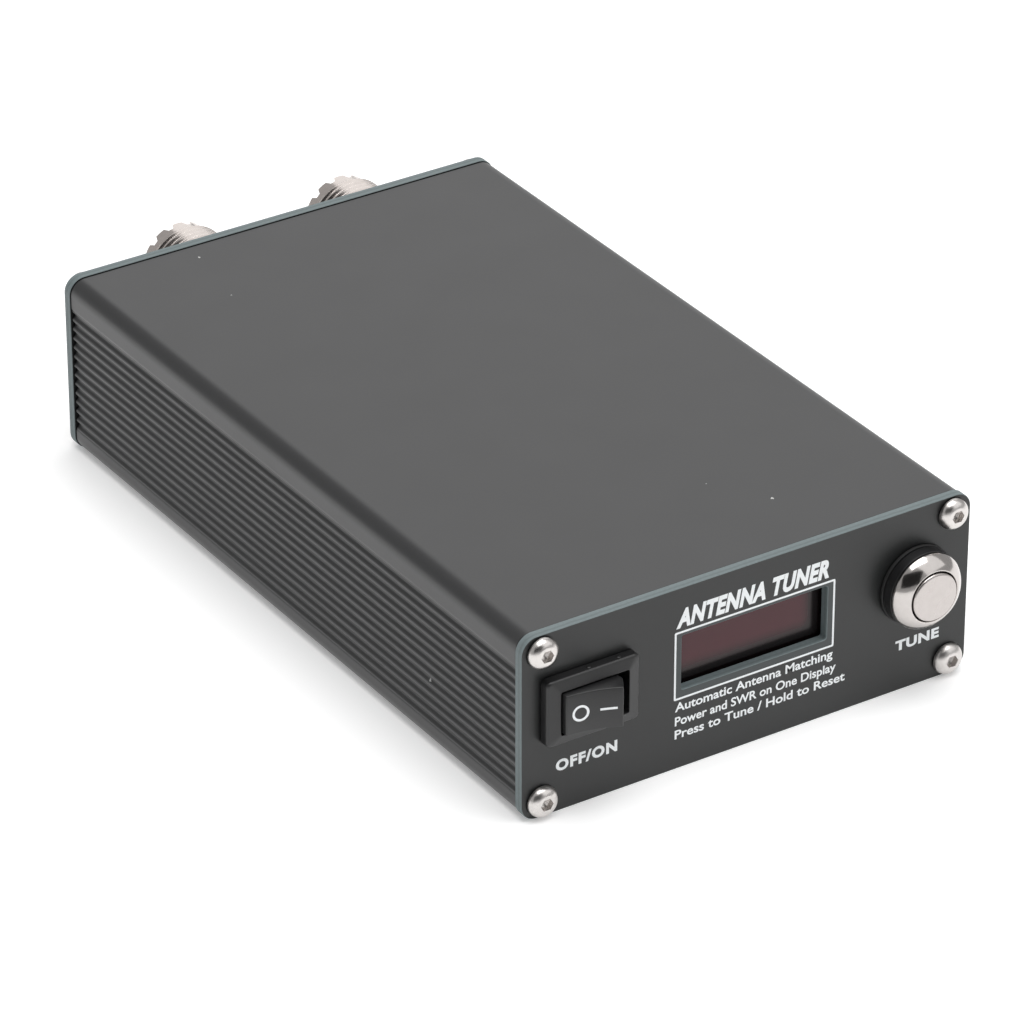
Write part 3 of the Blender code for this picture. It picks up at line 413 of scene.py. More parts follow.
# Cut glass-epoxy: layers of glass cloth in pale resin show as dark lines along the
# edge, with the router's fuzz breaking them up, grey-green and quite dull. The lines
# are drawn coarser than the cloth's 0.25 mm, so that they show.
EDGE_PALE = ("#778284", "#646f70")
EDGE_DARK = "#4b5455"
PLY_LINE = 1.571
WAVE = math.pi / 10                 # a wave texture of scale 1 repeats at this length
cut_laminate = finish("cut_glass_epoxy", EDGE_PALE, grain=0.5, relief=0.02, roughness=0.62)
tree, shader, tone, place = parts_of(cut_laminate)
plies = node(tree, "TexWave", {"Vector": place, "Scale": WAVE / (PLY_LINE * MM), "Distortion": 0.6,
                               "Detail": 2.0, "Detail Scale": 3.0}, bands_direction="Y")
thread = node(tree, "MapRange", {"Value": plies.outputs["Fac"], "From Min": 0.0, "From Max": 0.35,
                                 "To Min": 0.35, "To Max": 0.0})
paint(tree, shader, thread.outputs["Result"], tone, linear(EDGE_DARK))

body_w = OPENING_W + 2 * SWITCH_WALL + 2 * SEAT
body_h = OPENING_H + 2 * SWITCH_WALL + 2 * SEAT
front_openings = [
    rounded_outline(WINDOW_W, WINDOW_H, 0.5, WINDOW_X, CONTROL_Z, 6)[::-1],
    rounded_outline(body_w, body_h, 0.6, SWITCH_X, CONTROL_Z, 6)[::-1],
    hole(BUTTON_X, CONTROL_Z, BUSH_HOLE),
]
rear_openings = [hole(x, SOCKET_Z, SOCKET_HOLE) for x in SOCKET_X]
rear_openings += [hole(JACK_X, SOCKET_Z, JACK_HOLE)]
panel("panel_front", front_openings, 0.0, "front_panel")
panel("panel_rear", rear_openings, REAR_FACE, "rear_panel")

# ---------------------------------------------------------------------------
# Printing: white ink screened on to the front panel. It has a line round the
# window, a plain title, three lines on what the box does and a word at each
# control. The ink stands a few hundredths of a millimetre proud.

INK_T = 0.03
INK_BACK = -0.004
LINE_W = 0.35


def lettering(name, words, left, right, baseline, capital, bold=0.0, lean=0.0, spacing=1.0):
    """Words as thin solids from left to right on the front face.

    A letter point (u, v) goes to x = left + u * width ratio and z = baseline + v *
    capital / H, where H is the height of a capital H in the same face.
    """
    def as_mesh(text):
        """Mesh of the text, one unit thick, and its points."""
        curve = bpy.data.curves.new("letters", "FONT")
        curve.body = text
        curve.space_character = spacing
        curve.offset = bold
        curve.shear = lean
        curve.extrude = 0.5
        curve.resolution_u = 4
        holder = bpy.data.objects.new("letters", curve)
        bpy.context.scene.collection.objects.link(holder)
        data = bpy.data.meshes.new_from_object(holder)
        bpy.data.objects.remove(holder, do_unlink=True)
        points = np.empty(len(data.vertices) * 3, np.float32)
        data.vertices.foreach_get("co", points)
        return data, points.reshape(-1, 3)

    capital_points = as_mesh("H")[1]
    data, points = as_mesh(words)
    tall = np.ptp(capital_points[:, 1])
    foot = capital_points[:, 1].min()
    ratio = (right - left) / np.ptp(points[:, 0])
    x = left + (points[:, 0] - points[:, 0].min()) * ratio
    z = baseline + (points[:, 1] - foot) * capital / tall
    y = np.where(points[:, 2] > 0, INK_BACK - INK_T, INK_BACK) + FRONT
    data.vertices.foreach_set("co", (np.stack([x, y, z], axis=1) * MM).ravel())
    data.name = name
    data.update()
    return piece(name, data, "case", white_ink)


# Epoxy screen ink: cool white, flat, and a shade greyer where it lies thin.
INK_WHITE = ("#f6f8f9", "#e9edef")
white_ink = finish("white_screen_ink", INK_WHITE, grain=0.35, relief=0.006, roughness=0.55)

outer = rounded_outline(BORDER_W, BORDER_H, 0.25, WINDOW_X, BORDER_Z, 3)
inner = rounded_outline(BORDER_W - 2 * LINE_W, BORDER_H - 2 * LINE_W, 0.15, WINDOW_X, BORDER_Z, 3)[::-1]
line_mesh = carried("print_window_line", [outer, inner], [(0.0, INK_BACK), (0.0, INK_BACK - INK_T)])
piece("print_window_line", line_mesh, "case", white_ink)
lettering("print_title", "ANTENNA TUNER", -14.4, 15.6, 26.5, 3.5, bold=0.05, lean=0.25, spacing=1.08)
lettering("print_line_1", "Automatic Antenna Matching", -14.4, 16.8, 10.85, 1.65, bold=0.018)
lettering("print_line_2", "Power and SWR on One Display", -14.4, 17.5, 8.2, 1.65, bold=0.018)
lettering("print_line_3", "Press to Tune / Hold to Reset", -14.4, 19.4, 5.7, 1.65, bold=0.018)
lettering("print_off_on", "OFF/ON", -37.4, -25.6, 7.5, 2.1, bold=0.045, spacing=1.15)
lettering("print_tune", "TUNE", 29.6, 38.5, 7.7, 1.95, bold=0.045, spacing=1.1)

# ---------------------------------------------------------------------------
# Case screws: eight M3 button-head screws in stainless steel, cold headed and
# with a 2 mm hexagon socket punched in. They draw the panels on to the case.

HEAD_R = 2.8
HEAD_H = 1.65
HEAD_EDGE = 0.12
HEX_ACROSS = 2.0
HEX_DEPTH = 1.05
SHANK_R = 1.4
SHANK_LENGTH = 8.0


def turned(name, rows, centre, columns=64, wrap=False, sharp=32.0):
    """Surface about a line along y: P(i, a) = centre + (r cos a, y, r sin a).

    Each row is one (r, y), or one for every column where the shape isn't round.
    """
    a = np.linspace(0.0, 2 * math.pi, columns, endpoint=False)[None, :]
    rows = np.asarray(rows, float)
    if rows.ndim == 2:
        rows = np.repeat(rows[:, None], columns, axis=1)
    r, y = rows[..., 0], rows[..., 1]
    points = np.stack([centre[0] + r * np.cos(a), centre[1] + y, centre[2] + r * np.sin(a)], axis=-1)
    return solid(name, points, grid_faces(len(rows), columns, wrap, True), sharp)


def six_sided(across, columns):
    """Distance to a hexagon's side at each angle: across / 2 / cos(angle from the nearest flat)."""
    a = np.linspace(0.0, 2 * math.pi, columns, endpoint=False)
    off = np.remainder(a, math.pi / 3) - math.pi / 6
    return across / 2 / np.cos(off)


def button_head(name, x, y, z, way):
    """Screw with a domed head: r = R cos(t)^0.8, y = -H sin t, up to a flat crown.

    The shank's tip comes first and the hexagon's floor last, and way is 1 when the
    screw points towards +y.
    """
    columns = 48
    t = np.radians(np.linspace(0.0, 62.0, 12))[1:]
    dome = zip(HEAD_R * np.cos(t) ** 0.8, -HEAD_EDGE - (HEAD_H - HEAD_EDGE) * np.sin(t) / math.sin(t[-1]))
    hexagon = six_sided(HEX_ACROSS, columns)
    shank = [(0.0, SHANK_LENGTH), (SHANK_R * 0.7, SHANK_LENGTH), (SHANK_R, SHANK_LENGTH - 0.4),
             (SHANK_R, 0.0)]
    rim = [(HEAD_R * 0.97, 0.0), (HEAD_R, -0.05)]
    punched = [(hexagon * 1.05, -HEAD_H), (hexagon, -HEAD_H + 0.06), (hexagon, -HEAD_H + HEX_DEPTH),
               (0.0, -HEAD_H + HEX_DEPTH + 0.3)]
    rows = [*shank, *rim, *dome, *punched]
    rows = [np.stack([r + 0 * hexagon, along * way + 0 * hexagon], axis=-1) for r, along in rows]
    return turned(name, rows, (x, y, z), columns)


# Bright stainless steel: cold heading leaves it smooth with fine scuffs, a warm grey
# metal that mirrors the white room with soft edges.
STAINLESS = ("#dcd8d5", "#cbc7c4")
stainless = finish("stainless_steel", STAINLESS, grain=0.5, relief=0.004,
                   roughness=0.28, spread=0.07, metallic=1.0)

for end, face, way in (("front", -SEAT, 1), ("rear", REAR_FACE + PANEL_T + SEAT, -1)):
    for height, z in (("bottom", CHANNEL_Z), ("top", HEIGHT - CHANNEL_Z)):
        for side, x in (("left", -CHANNEL_X), ("right", CHANNEL_X)):
            place_name = f"{end}_screw_{height}_{side}"
            screw = button_head("button_head", x, face, z, way)
            piece(f"{place_name}_m3", screw, "case", stainless, place_name)

# ---------------------------------------------------------------------------
# Power switch: a snap-in rocker switch moulded in black nylon. Its bezel slopes
# up to the opening, and the rocker turns on two pins in the housing's walls.

BEZEL_W = 17.7
BEZEL_H = 12.1
BEZEL_EDGE = -1.9
BEZEL_LIP = -2.6
SWITCH_DEPTH = 12.4
PIVOT_Y = 1.2
ROCKER_REACH = 6.28
ROCKER_DISH = 0.55
ROCKER_HALF = 4.8
ROCKER_TILT = -15.0
ROCKER_THICK = OPENING_H / 2 - 0.3
ROCKER_SKIRT = 3.0
BLADE_T = 0.8
BLADE_W = 4.8
BLADE_PITCH = 5.0
PIN_R = 1.0
PIN_END = OPENING_H / 2 + 0.7
PIN_PLAY = 0.1
MARK_T = 0.03
OFF_RING_R = 1.27
OFF_RING_W = 0.42
OFF_RING_X = -2.25
ON_BAR = (1.05, 3.85)               # from end to end along the rocker
ON_BAR_W = 0.4


def stacked(rows, x, z, steps=6):
    """Points and faces of rounded rectangles (width, height, corner, y) joined into one skin.

    P(row, k) = (x + outline(k).u, y(row), z + outline(k).v). The first and last rows
    are small and each is closed with one face.
    """
    layers = []
    for width, height, corner, y in rows:
        flat = rounded_outline(width, height, corner, x, z, steps)
        level = np.full((len(flat), 1), y)
        layers.append(np.concatenate([flat[:, :1], level, flat[:, 1:]], axis=1))
    points = np.stack(layers)
    rows_count, columns = points.shape[:2]
    faces = grid_faces(rows_count, columns, False, True).tolist()
    faces += [list(range(columns)), list(range((rows_count - 1) * columns, rows_count * columns))]
    return points, faces


# Moulded nylon with a fine spark-eroded texture from its tool: satin black, with a
# soft grey sheen and no colour of its own.
NYLON_BLACK = ("#161617", "#1c1c1d")
nylon = finish("moulded_black_nylon", NYLON_BLACK, grain=0.35, relief=0.008,
               roughness=0.4, spread=0.03, IOR=1.55)

profile = soften(np.array([
    [OPENING_W / 2, SWITCH_DEPTH - SWITCH_WALL],
    [OPENING_W / 2, BEZEL_LIP],
    [BEZEL_W / 2 - 0.25, BEZEL_EDGE - 0.12],
    [BEZEL_W / 2, BEZEL_EDGE + 0.15],
    [BEZEL_W / 2 + 0.1, -SEAT],
    [OPENING_W / 2 + SWITCH_WALL, -SEAT],
    [OPENING_W / 2 + SWITCH_WALL, SWITCH_DEPTH],
]), 0.18, closed=False)
taper = np.interp(profile[:, 0], [OPENING_W / 2, BEZEL_W / 2], [OPENING_H / 2, BEZEL_H / 2])
corner = np.interp(profile[:, 0], [OPENING_W / 2, BEZEL_W / 2], [0.35, 0.9])
housing_rows = [(2 * w, 2 * h, c, y) for w, h, c, y in zip(profile[:, 0], taper, corner, profile[:, 1])]
closing = (1.0, 1.0, 0.3)           # small rectangle that ends each side of the floor
housing_rows = [(*closing, SWITCH_DEPTH - SWITCH_WALL), *housing_rows, (*closing, SWITCH_DEPTH)]
points, faces = stacked(housing_rows, SWITCH_X, CONTROL_Z)


def rocker_face(x):
    """Dished face of the rocker, as a depth in front of the pivot: -reach + dish (1 - (x / half)^2)."""
    return -ROCKER_REACH + ROCKER_DISH * (1 - (x / ROCKER_HALF) ** 2)


def tilted(points):
    """Turn points (x, y, z) about the pivot pins to the resting tilt, and put them in the switch."""
    t = math.radians(ROCKER_TILT)
    turn = np.array([[math.cos(t), math.sin(t), 0.0], [-math.sin(t), math.cos(t), 0.0], [0.0, 0.0, 1.0]])
    return points @ turn + [SWITCH_X, PIVOT_Y, CONTROL_Z]


def rocker_outline():
    """Side view of the rocker: dished face, flared ends, then down to the stem that works the contact."""
    x = np.linspace(-ROCKER_HALF, ROCKER_HALF, 13)
    face = np.stack([x, rocker_face(x)], axis=1)
    flare = ROCKER_SKIRT * math.tan(math.radians(-ROCKER_TILT))
    half = np.array([[ROCKER_HALF + flare, ROCKER_SKIRT - ROCKER_REACH], [ROCKER_HALF + flare - 1.6, 0.6],
                     [2.2, 2.4], [0.8, 3.2], [0.8, 5.7]])
    ends = soften(np.concatenate([face[-2:], half]), 0.25, closed=False)[1:]
    return np.concatenate([face[1:-1], ends, (ends * [-1, 1])[::-1]])


def joined(data, other, operation):
    """Mesh left when another mesh is taken away from this one or added to it."""
    pair = [bpy.data.objects.new("pair", mesh) for mesh in (data, other)]
    for one in pair:
        bpy.context.scene.collection.objects.link(one)
    step = pair[0].modifiers.new("join", "BOOLEAN")
    step.operation = operation
    step.solver = "EXACT"
    step.object = pair[1]
    made = bpy.data.meshes.new_from_object(pair[0].evaluated_get(bpy.context.evaluated_depsgraph_get()))
    for one in pair:
        bpy.data.objects.remove(one, do_unlink=True)
    made.set_sharp_from_angle(angle=math.radians(32.0))
    return made


def pin(name, radius, reach):
    """Round bar across the switch at the rocker's pivot: a circle carried from -reach to reach in z."""
    outline = arc(SWITCH_X, PIVOT_Y, radius, 0.0, 348.75, 32)
    return carried(name, [outline], [(0.0, CONTROL_Z - reach), (0.0, CONTROL_Z + reach)], along="z")


def blade_slot(name, offset):
    """Block that opens the housing's floor for one blade: its outline plus the air, carried through."""
    outline = rounded_outline(BLADE_T + 2 * SEAT, BLADE_W + 2 * SEAT, 0.15, SWITCH_X + offset, CONTROL_Z, 3)
    return carried(name, [outline], [(0.0, SWITCH_DEPTH - 2 * SWITCH_WALL), (0.0, SWITCH_DEPTH + 1.0)])


housing_mesh = solid("switch_bezel", points, faces)
tools = [pin("pin_bore", PIN_R + PIN_PLAY, PIN_END + PIN_PLAY)]
tools += [blade_slot("slot", offset) for offset in (0.0, -BLADE_PITCH)]
for tool in tools:
    housing_mesh = joined(housing_mesh, tool, "DIFFERENCE")
piece("switch_bezel", housing_mesh, "case", nylon, "switch_housing")

# Two low nibs are left on the bezel's upper edge where the nylon ran into the mould:
# P(t, a) = (r cos t cos a, r cos t sin a, h sin t), a flat button half sunk in the edge.
NIB_R = 0.42
NIB_H = 0.14
NIB_Y = -1.05
t = np.radians(np.linspace(-90.0, 90.0, 9))[:, None]
a = np.linspace(0.0, 2 * math.pi, 20, endpoint=False)[None, :]
nib = np.stack([NIB_R * np.cos(t) * np.cos(a), NIB_R * np.cos(t) * np.sin(a),
                NIB_H * np.sin(t) + 0 * a], axis=-1)
for number, offset in ((1, -0.4), (2, 5.3)):
    nib_mesh = solid("nib", nib + [SWITCH_X + offset, NIB_Y, CONTROL_Z + BEZEL_H / 2],
                     grid_faces(9, 20, False, True))
    piece(f"switch_nib_{number}", nib_mesh, "case", nylon)

outline = tilted(np.pad(rocker_outline(), ((0, 0), (0, 1))))[:, :2]
edge = 0.22
swell = [(edge, 0.0), (edge * 0.35, edge * 0.3), (0.0, edge)]
rows = [(side, CONTROL_Z - ROCKER_THICK + up) for side, up in swell]
rows += [(side, CONTROL_Z + ROCKER_THICK - up) for side, up in swell[::-1]]
rocker_mesh = joined(carried("rocker", [outline], rows, along="z"), pin("pins", PIN_R, PIN_END), "UNION")
piece("rocker_key", rocker_mesh, "rocker", nylon, "rocker")


def face_mark(name, path, side, width, closed):
    """Ink line on the rocker's face: P(i, k) = path(i) + side(i) * s(k), laid on the dished face."""
    across = np.array([-0.5, -0.5, 0.5, 0.5]) * width
    lift = np.array([0.002, MARK_T, MARK_T, 0.002])
    flat = path[:, None, :] + side[:, None, :] * across[None, :, None]
    y = rocker_face(flat[..., 0]) - lift
    points = tilted(np.stack([flat[..., 0], y, flat[..., 1]], axis=-1).reshape(-1, 3))
    faces = grid_faces(len(path), 4, closed, True).tolist()
    if not closed:
        faces += [[0, 1, 2, 3], [len(points) - 4 + k for k in range(4)]]
    piece(name, solid(name, points, faces), "rocker", white_ink)


turn = np.radians(np.arange(0.0, 360.0, 7.5))
around = np.stack([np.cos(turn), np.sin(turn)], axis=1)
face_mark("print_off_ring", around * OFF_RING_R + [OFF_RING_X, 0.0], around, OFF_RING_W, True)
run = np.linspace(*ON_BAR, 15)
level = np.stack([run, 0 * run], axis=1)
face_mark("print_on_bar", level, 0 * level + [0.0, 1.0], ON_BAR_W, False)

# ---------------------------------------------------------------------------
# Tune button: a 12 mm push switch. The moulded body has a flange on a rubber
# seal, a chromed ring is pressed over its front, and the chromed cap slides
# in the ring's mouth. A nut holds the body from inside.

SEAL_FRONT = -0.8
FLANGE_R = 7.0
FLANGE_FACE = -2.9
BUSH_R = 5.9
BODY_REAR = 16.0
BODY_FLOOR = 13.0
RING_BASE = -3.0
RING_FACE = -5.5
MOUTH_R = 4.6
RING_LAND = 0.25
CAP_R = 4.35
CAP_EDGE = -5.85
CAP_T = 3.4
TERMINAL_SPREAD = 2.7
TERMINAL_HOLE = 0.75
button_at = (BUTTON_X, 0.0, CONTROL_Z)

# Nitrile rubber: a very dark grey, dull, with the faint bloom that rubber sweats out.
RUBBER_BLACK = ("#19191a", "#232323")
rubber = finish("black_nitrile_rubber", RUBBER_BLACK, grain=0.7, relief=0.012, roughness=0.66)
seal = np.array([[6.2, -SEAT], [FLANGE_R + 0.15, -SEAT], [FLANGE_R + 0.15, SEAL_FRONT], [6.2, SEAL_FRONT]])
seal = soften(seal, 0.15)
piece("button_gasket", turned("gasket", seal, button_at, wrap=True), "case", rubber,
      "button_seal")

body = soften(np.array([[0.0, BODY_FLOOR], [MOUTH_R, BODY_FLOOR], [MOUTH_R, FLANGE_FACE],
                        [FLANGE_R, FLANGE_FACE], [FLANGE_R, -1.0], [BUSH_R, -1.0],
                        [BUSH_R, BODY_REAR], [0.0, BODY_REAR]]), 0.14, closed=False)
body_mesh = turned("button_barrel", body, button_at)
for side in (-1, 1):
    outline = arc(BUTTON_X + side * TERMINAL_SPREAD, CONTROL_Z, TERMINAL_HOLE, 0.0, 345.0, 24)
    drill = carried("terminal_hole", [outline], [(0.0, BODY_FLOOR - 1.0), (0.0, BODY_REAR + 1.0)])
    body_mesh = joined(body_mesh, drill, "DIFFERENCE")
piece("button_barrel", body_mesh, "case", nylon, "button_body")

# Bright chrome over polished nickel: almost a mirror, with the smallest orange-peel
# from the polishing wheel.
CHROME = ("#cac5c2", "#c0bbb8")
chrome = finish("bright_chrome_plate", CHROME, grain=0.9, relief=0.004,
                roughness=0.13, spread=0.03, metallic=1.0)
t = np.radians(np.linspace(0.0, 90.0, 14))
cone = np.linspace(0.0, 1.0, 14)
swell_r = FLANGE_R - 0.1 - (FLANGE_R - 0.1 - MOUTH_R - RING_LAND) * (0.62 * cone + 0.38 * (1 - np.cos(t)))
swell_y = RING_BASE - 0.35 + (RING_FACE - RING_BASE + 0.35) * (0.62 * cone + 0.38 * np.sin(t))
ring_r = np.concatenate([[MOUTH_R, FLANGE_R - 0.25, FLANGE_R - 0.1], swell_r, [MOUTH_R + 0.06, MOUTH_R]])
ring_y = np.concatenate([[RING_BASE, RING_BASE, RING_BASE - 0.12], swell_y,
                         [RING_FACE + 0.02, RING_FACE + 0.1]])
ring_mesh = turned("ring", np.stack([ring_r, ring_y], axis=1), button_at, 96, wrap=True)
piece("button_bezel", ring_mesh, "case", chrome, "button_ring")

# The cap is the same chrome over a turned face: satin, a shade darker, with circular
# marks from the lathe, drawn coarser than they are so that they show.
CAP_METAL = ("#c6c0bd", "#bbb5b2")
LAP_PITCH = 0.754
LAP_RELIEF = 0.0012
satin = finish("satin_chrome_plate", CAP_METAL, grain=0.9, relief=0.003,
               roughness=0.24, spread=0.05, metallic=1.0)
tree, shader, tone, place = parts_of(satin)
cap_middle = (BUTTON_X * MM, 0.0, CONTROL_Z * MM)
centred = node(tree, "VectorMath", {0: place, 1: cap_middle}, operation="SUBTRACT")
laps = node(tree, "TexWave", {"Vector": centred.outputs[0], "Scale": WAVE / (LAP_PITCH * MM),
                              "Distortion": 1.5, "Detail": 2.0}, wave_type="RINGS", rings_direction="Y")
turned_bump = node(tree, "Bump", {"Height": laps.outputs["Fac"], "Distance": LAP_RELIEF * MM,
                                  "Normal": tree.nodes["Bump"].outputs["Normal"]})
tree.links.new(turned_bump.outputs["Normal"], shader.inputs["Normal"])
t = np.linspace(0.0, 1.0, 16)
dome_r = (CAP_R - 0.3) * np.cos(t * math.pi / 2)
dome_y = CAP_EDGE - 0.25 * (1 - (dome_r / CAP_R) ** 2)
bend = np.radians(np.linspace(0.0, 80.0, 6))
round_r = CAP_R - 0.3 + 0.3 * np.cos(bend)
round_y = CAP_EDGE + 0.3 - 0.3 * np.sin(bend)
cap_r = np.concatenate([[0.0, CAP_R - 0.1, CAP_R], round_r, dome_r[1:]])
cap_y = np.concatenate([[CAP_EDGE + CAP_T, CAP_EDGE + CAP_T, CAP_EDGE + CAP_T - 0.1], round_y, dome_y[1:]])
cap_mesh = turned("cap", np.stack([cap_r, cap_y], axis=1), button_at, 96)
piece("button_face", cap_mesh, "button", satin, "button_cap")

# Return spring: hard stainless wire wound with closed ends, between the contact disc
# and the body's floor. In the switch it shortens by the cap's travel; here it keeps its wound length.
SPRING_FRONT = 7.97
SPRING_BACK = 12.8
SPRING_TURNS = 6.0
COIL_R = 1.45
WIRE_R = 0.2


def coil(name):
    """Wire round a helix: P(s, k) = (c cos a, y + w sin k, c sin a), where c = R + w cos k.

    The angle a runs evenly and y follows s, held level over the first and last turn.
    """
    s = np.linspace(0.0, 1.0, int(SPRING_TURNS * 28))
    level = 0.8 / SPRING_TURNS
    rise = np.clip((s - level) / (1 - 2 * level), 0.0, 1.0)
    closed_turn = 2.1 * WIRE_R
    y = SPRING_FRONT + WIRE_R + closed_turn * np.minimum(s / level, 1.0)
    y += closed_turn * np.maximum((s - 1 + level) / level, 0.0)
    y += rise * (SPRING_BACK - SPRING_FRONT - 2 * WIRE_R - 2 * closed_turn)
    a = (2 * math.pi * SPRING_TURNS * s)[:, None]
    k = np.linspace(0.0, 2 * math.pi, 12, endpoint=False)[None, :]
    c = COIL_R + WIRE_R * np.cos(k)
    points = np.stack([c * np.cos(a), y[:, None] + WIRE_R * np.sin(k) + 0 * a, c * np.sin(a)], axis=-1)
    faces = grid_faces(len(s), 12, False, True).tolist()
    faces += [list(range(12)), [len(s) * 12 - 12 + k for k in range(12)]]
    return solid(name, points + [BUTTON_X, 0.0, CONTROL_Z], faces)


spring = piece("button_coil", coil("coil"), "case", stainless, "button_spring")
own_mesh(spring)

# ---------------------------------------------------------------------------
# Display: a red acrylic filter clipped behind the window, and behind it a digit
# display in glass, dark while the tuner is off, soldered to a board of its own.

FILTER_LAP = 1.4
FILTER_START = PANEL_T + 0.5
FILTER_T = 1.0
GLASS_LAP = 0.65
GLASS_T = 1.4
PLATE_ARRIS = 0.06


def plate(name, width, height, radius, start, thick, material, node_name):
    """Flat plate behind the window: its outline carried from start to start + thick."""
    outline = rounded_outline(width, height, radius, WINDOW_X, CONTROL_Z, 5)
    data = carried(name, [outline], broken_edges(start, start + thick, PLATE_ARRIS))
    piece(name, data, "case", material, node_name)


# Cast acrylic dyed a deep red: its polished face mirrors the edge of the window, and
# its colour is the dull red of the display seen through it. Black painted shade fades in along
# its lower and right edges, standing for the dark reveal mirrored in it and the shade inside the window.
FILTER_RED = ("#4c1d25", "#451a21")
# Painted shade: its black, and how far it reaches in from the window's right and lower edges.
FILTER_PAINTED_SHADE = "#120c0d"
PAINTED_SHADE_RIGHT = (1.2, 3.9)             # from the window's right edge to where the red is full
PAINTED_SHADE_LOW = (1.1, 4.3)               # and from its lower edge
red_acrylic = finish("red_acrylic_with_painted_shade", FILTER_RED, grain=4.0, relief=0.002,
                     roughness=0.16, spread=0.04, IOR=1.42)
tree, shader, tone, place = parts_of(red_acrylic)
where = node(tree, "SeparateXYZ", {0: place})
# Painted shade mask: 1 where the red shows, falling to 0 towards the window's right and lower edges.
lit_right = node(tree, "MapRange",
                 {"Value": where.outputs["X"], "From Min": (WINDOW_X + WINDOW_W / 2 - PAINTED_SHADE_RIGHT[1]) * MM,
                  "From Max": (WINDOW_X + WINDOW_W / 2 - PAINTED_SHADE_RIGHT[0]) * MM, "To Min": 1.0, "To Max": 0.0},
                 interpolation_type="SMOOTHSTEP")
lit_low = node(tree, "MapRange",
               {"Value": where.outputs["Z"], "From Min": (CONTROL_Z - WINDOW_H / 2 + PAINTED_SHADE_LOW[0]) * MM,
                "From Max": (CONTROL_Z - WINDOW_H / 2 + PAINTED_SHADE_LOW[1]) * MM, "To Min": 0.0, "To Max": 1.0},
               interpolation_type="SMOOTHSTEP")
lit = node(tree, "Math", {0: lit_right.outputs["Result"], 1: lit_low.outputs["Result"]},
           operation="MULTIPLY")
paint(tree, shader, lit.outputs[0], linear(FILTER_PAINTED_SHADE), tone)
plate("filter_plate", WINDOW_W + 2 * FILTER_LAP, WINDOW_H + 2 * FILTER_LAP, 0.4, FILTER_START, FILTER_T,
      red_acrylic, "display_filter")

# Unlit display glass: near black, with the bars of its digits just showing.
SEGMENT_GREY = "#262021"
GLASS_BLACK = ("#0e0b0c", "#131011")
DIGIT_PITCH = 4.1
SEGMENT_LENGTH = 3.0
SEGMENT_GAP = 0.5
dark_glass = finish("unlit_display_glass", GLASS_BLACK, grain=3.0, relief=0.001,
                    roughness=0.08, spread=0.02)
tree, shader, tone, place = parts_of(dark_glass)
digits = node(tree, "TexBrick",
              {"Vector": place, "Color1": linear(SEGMENT_GREY), "Color2": linear(SEGMENT_GREY),
               "Mortar": linear(GLASS_BLACK[0]), "Scale": 1.0, "Brick Width": DIGIT_PITCH * MM,
               "Row Height": SEGMENT_LENGTH * MM, "Mortar Size": SEGMENT_GAP * MM}, offset=0.0)
paint(tree, shader, 0.5, tone, digits.outputs["Color"])
plate("display_cell", WINDOW_W + 2 * GLASS_LAP, WINDOW_H + 2 * GLASS_LAP, 0.4,
      FILTER_START + FILTER_T + SEAT, GLASS_T, dark_glass, "display_glass")

# ---------------------------------------------------------------------------
# Aerial sockets: two coaxial sockets for a screw-on plug. Each is turned from
# brass with a thread along its barrel and a castellated lip, nickel plated, and
# a hexagon nut on a washer pulls its inner shoulder against the rear panel.

OVERALL = REAR_FACE + PANEL_T
THREAD_R = 7.95
THREAD_ROOT = 7.45
THREAD_PITCH = 1.27
THREAD_END = 16.0
LIP_R = 7.2
LIP_END = 18.5
MOUTH = 6.1
MOUTH_DEPTH = 9.0
SHOULDER_R = 9.5
SHOULDER_T = 2.5
CORE_R = 5.2
TUBE_R = 2.9
TUBE_BORE = 2.05
TUBE_DEPTH = 12.0
TUBE_SHY = 2.0
TAIL_R = 1.75
TAIL_LENGTH = 6.0
CORE_PROUD = 2.0
WASHER_R = 10.2
WASHER_T = 0.7
NUT_ACROSS = 19.0
NUT_T = 3.0
NOTCHES = 12
NOTCH_DEPTH = 1.1
NOTCH_HALF = 6.0


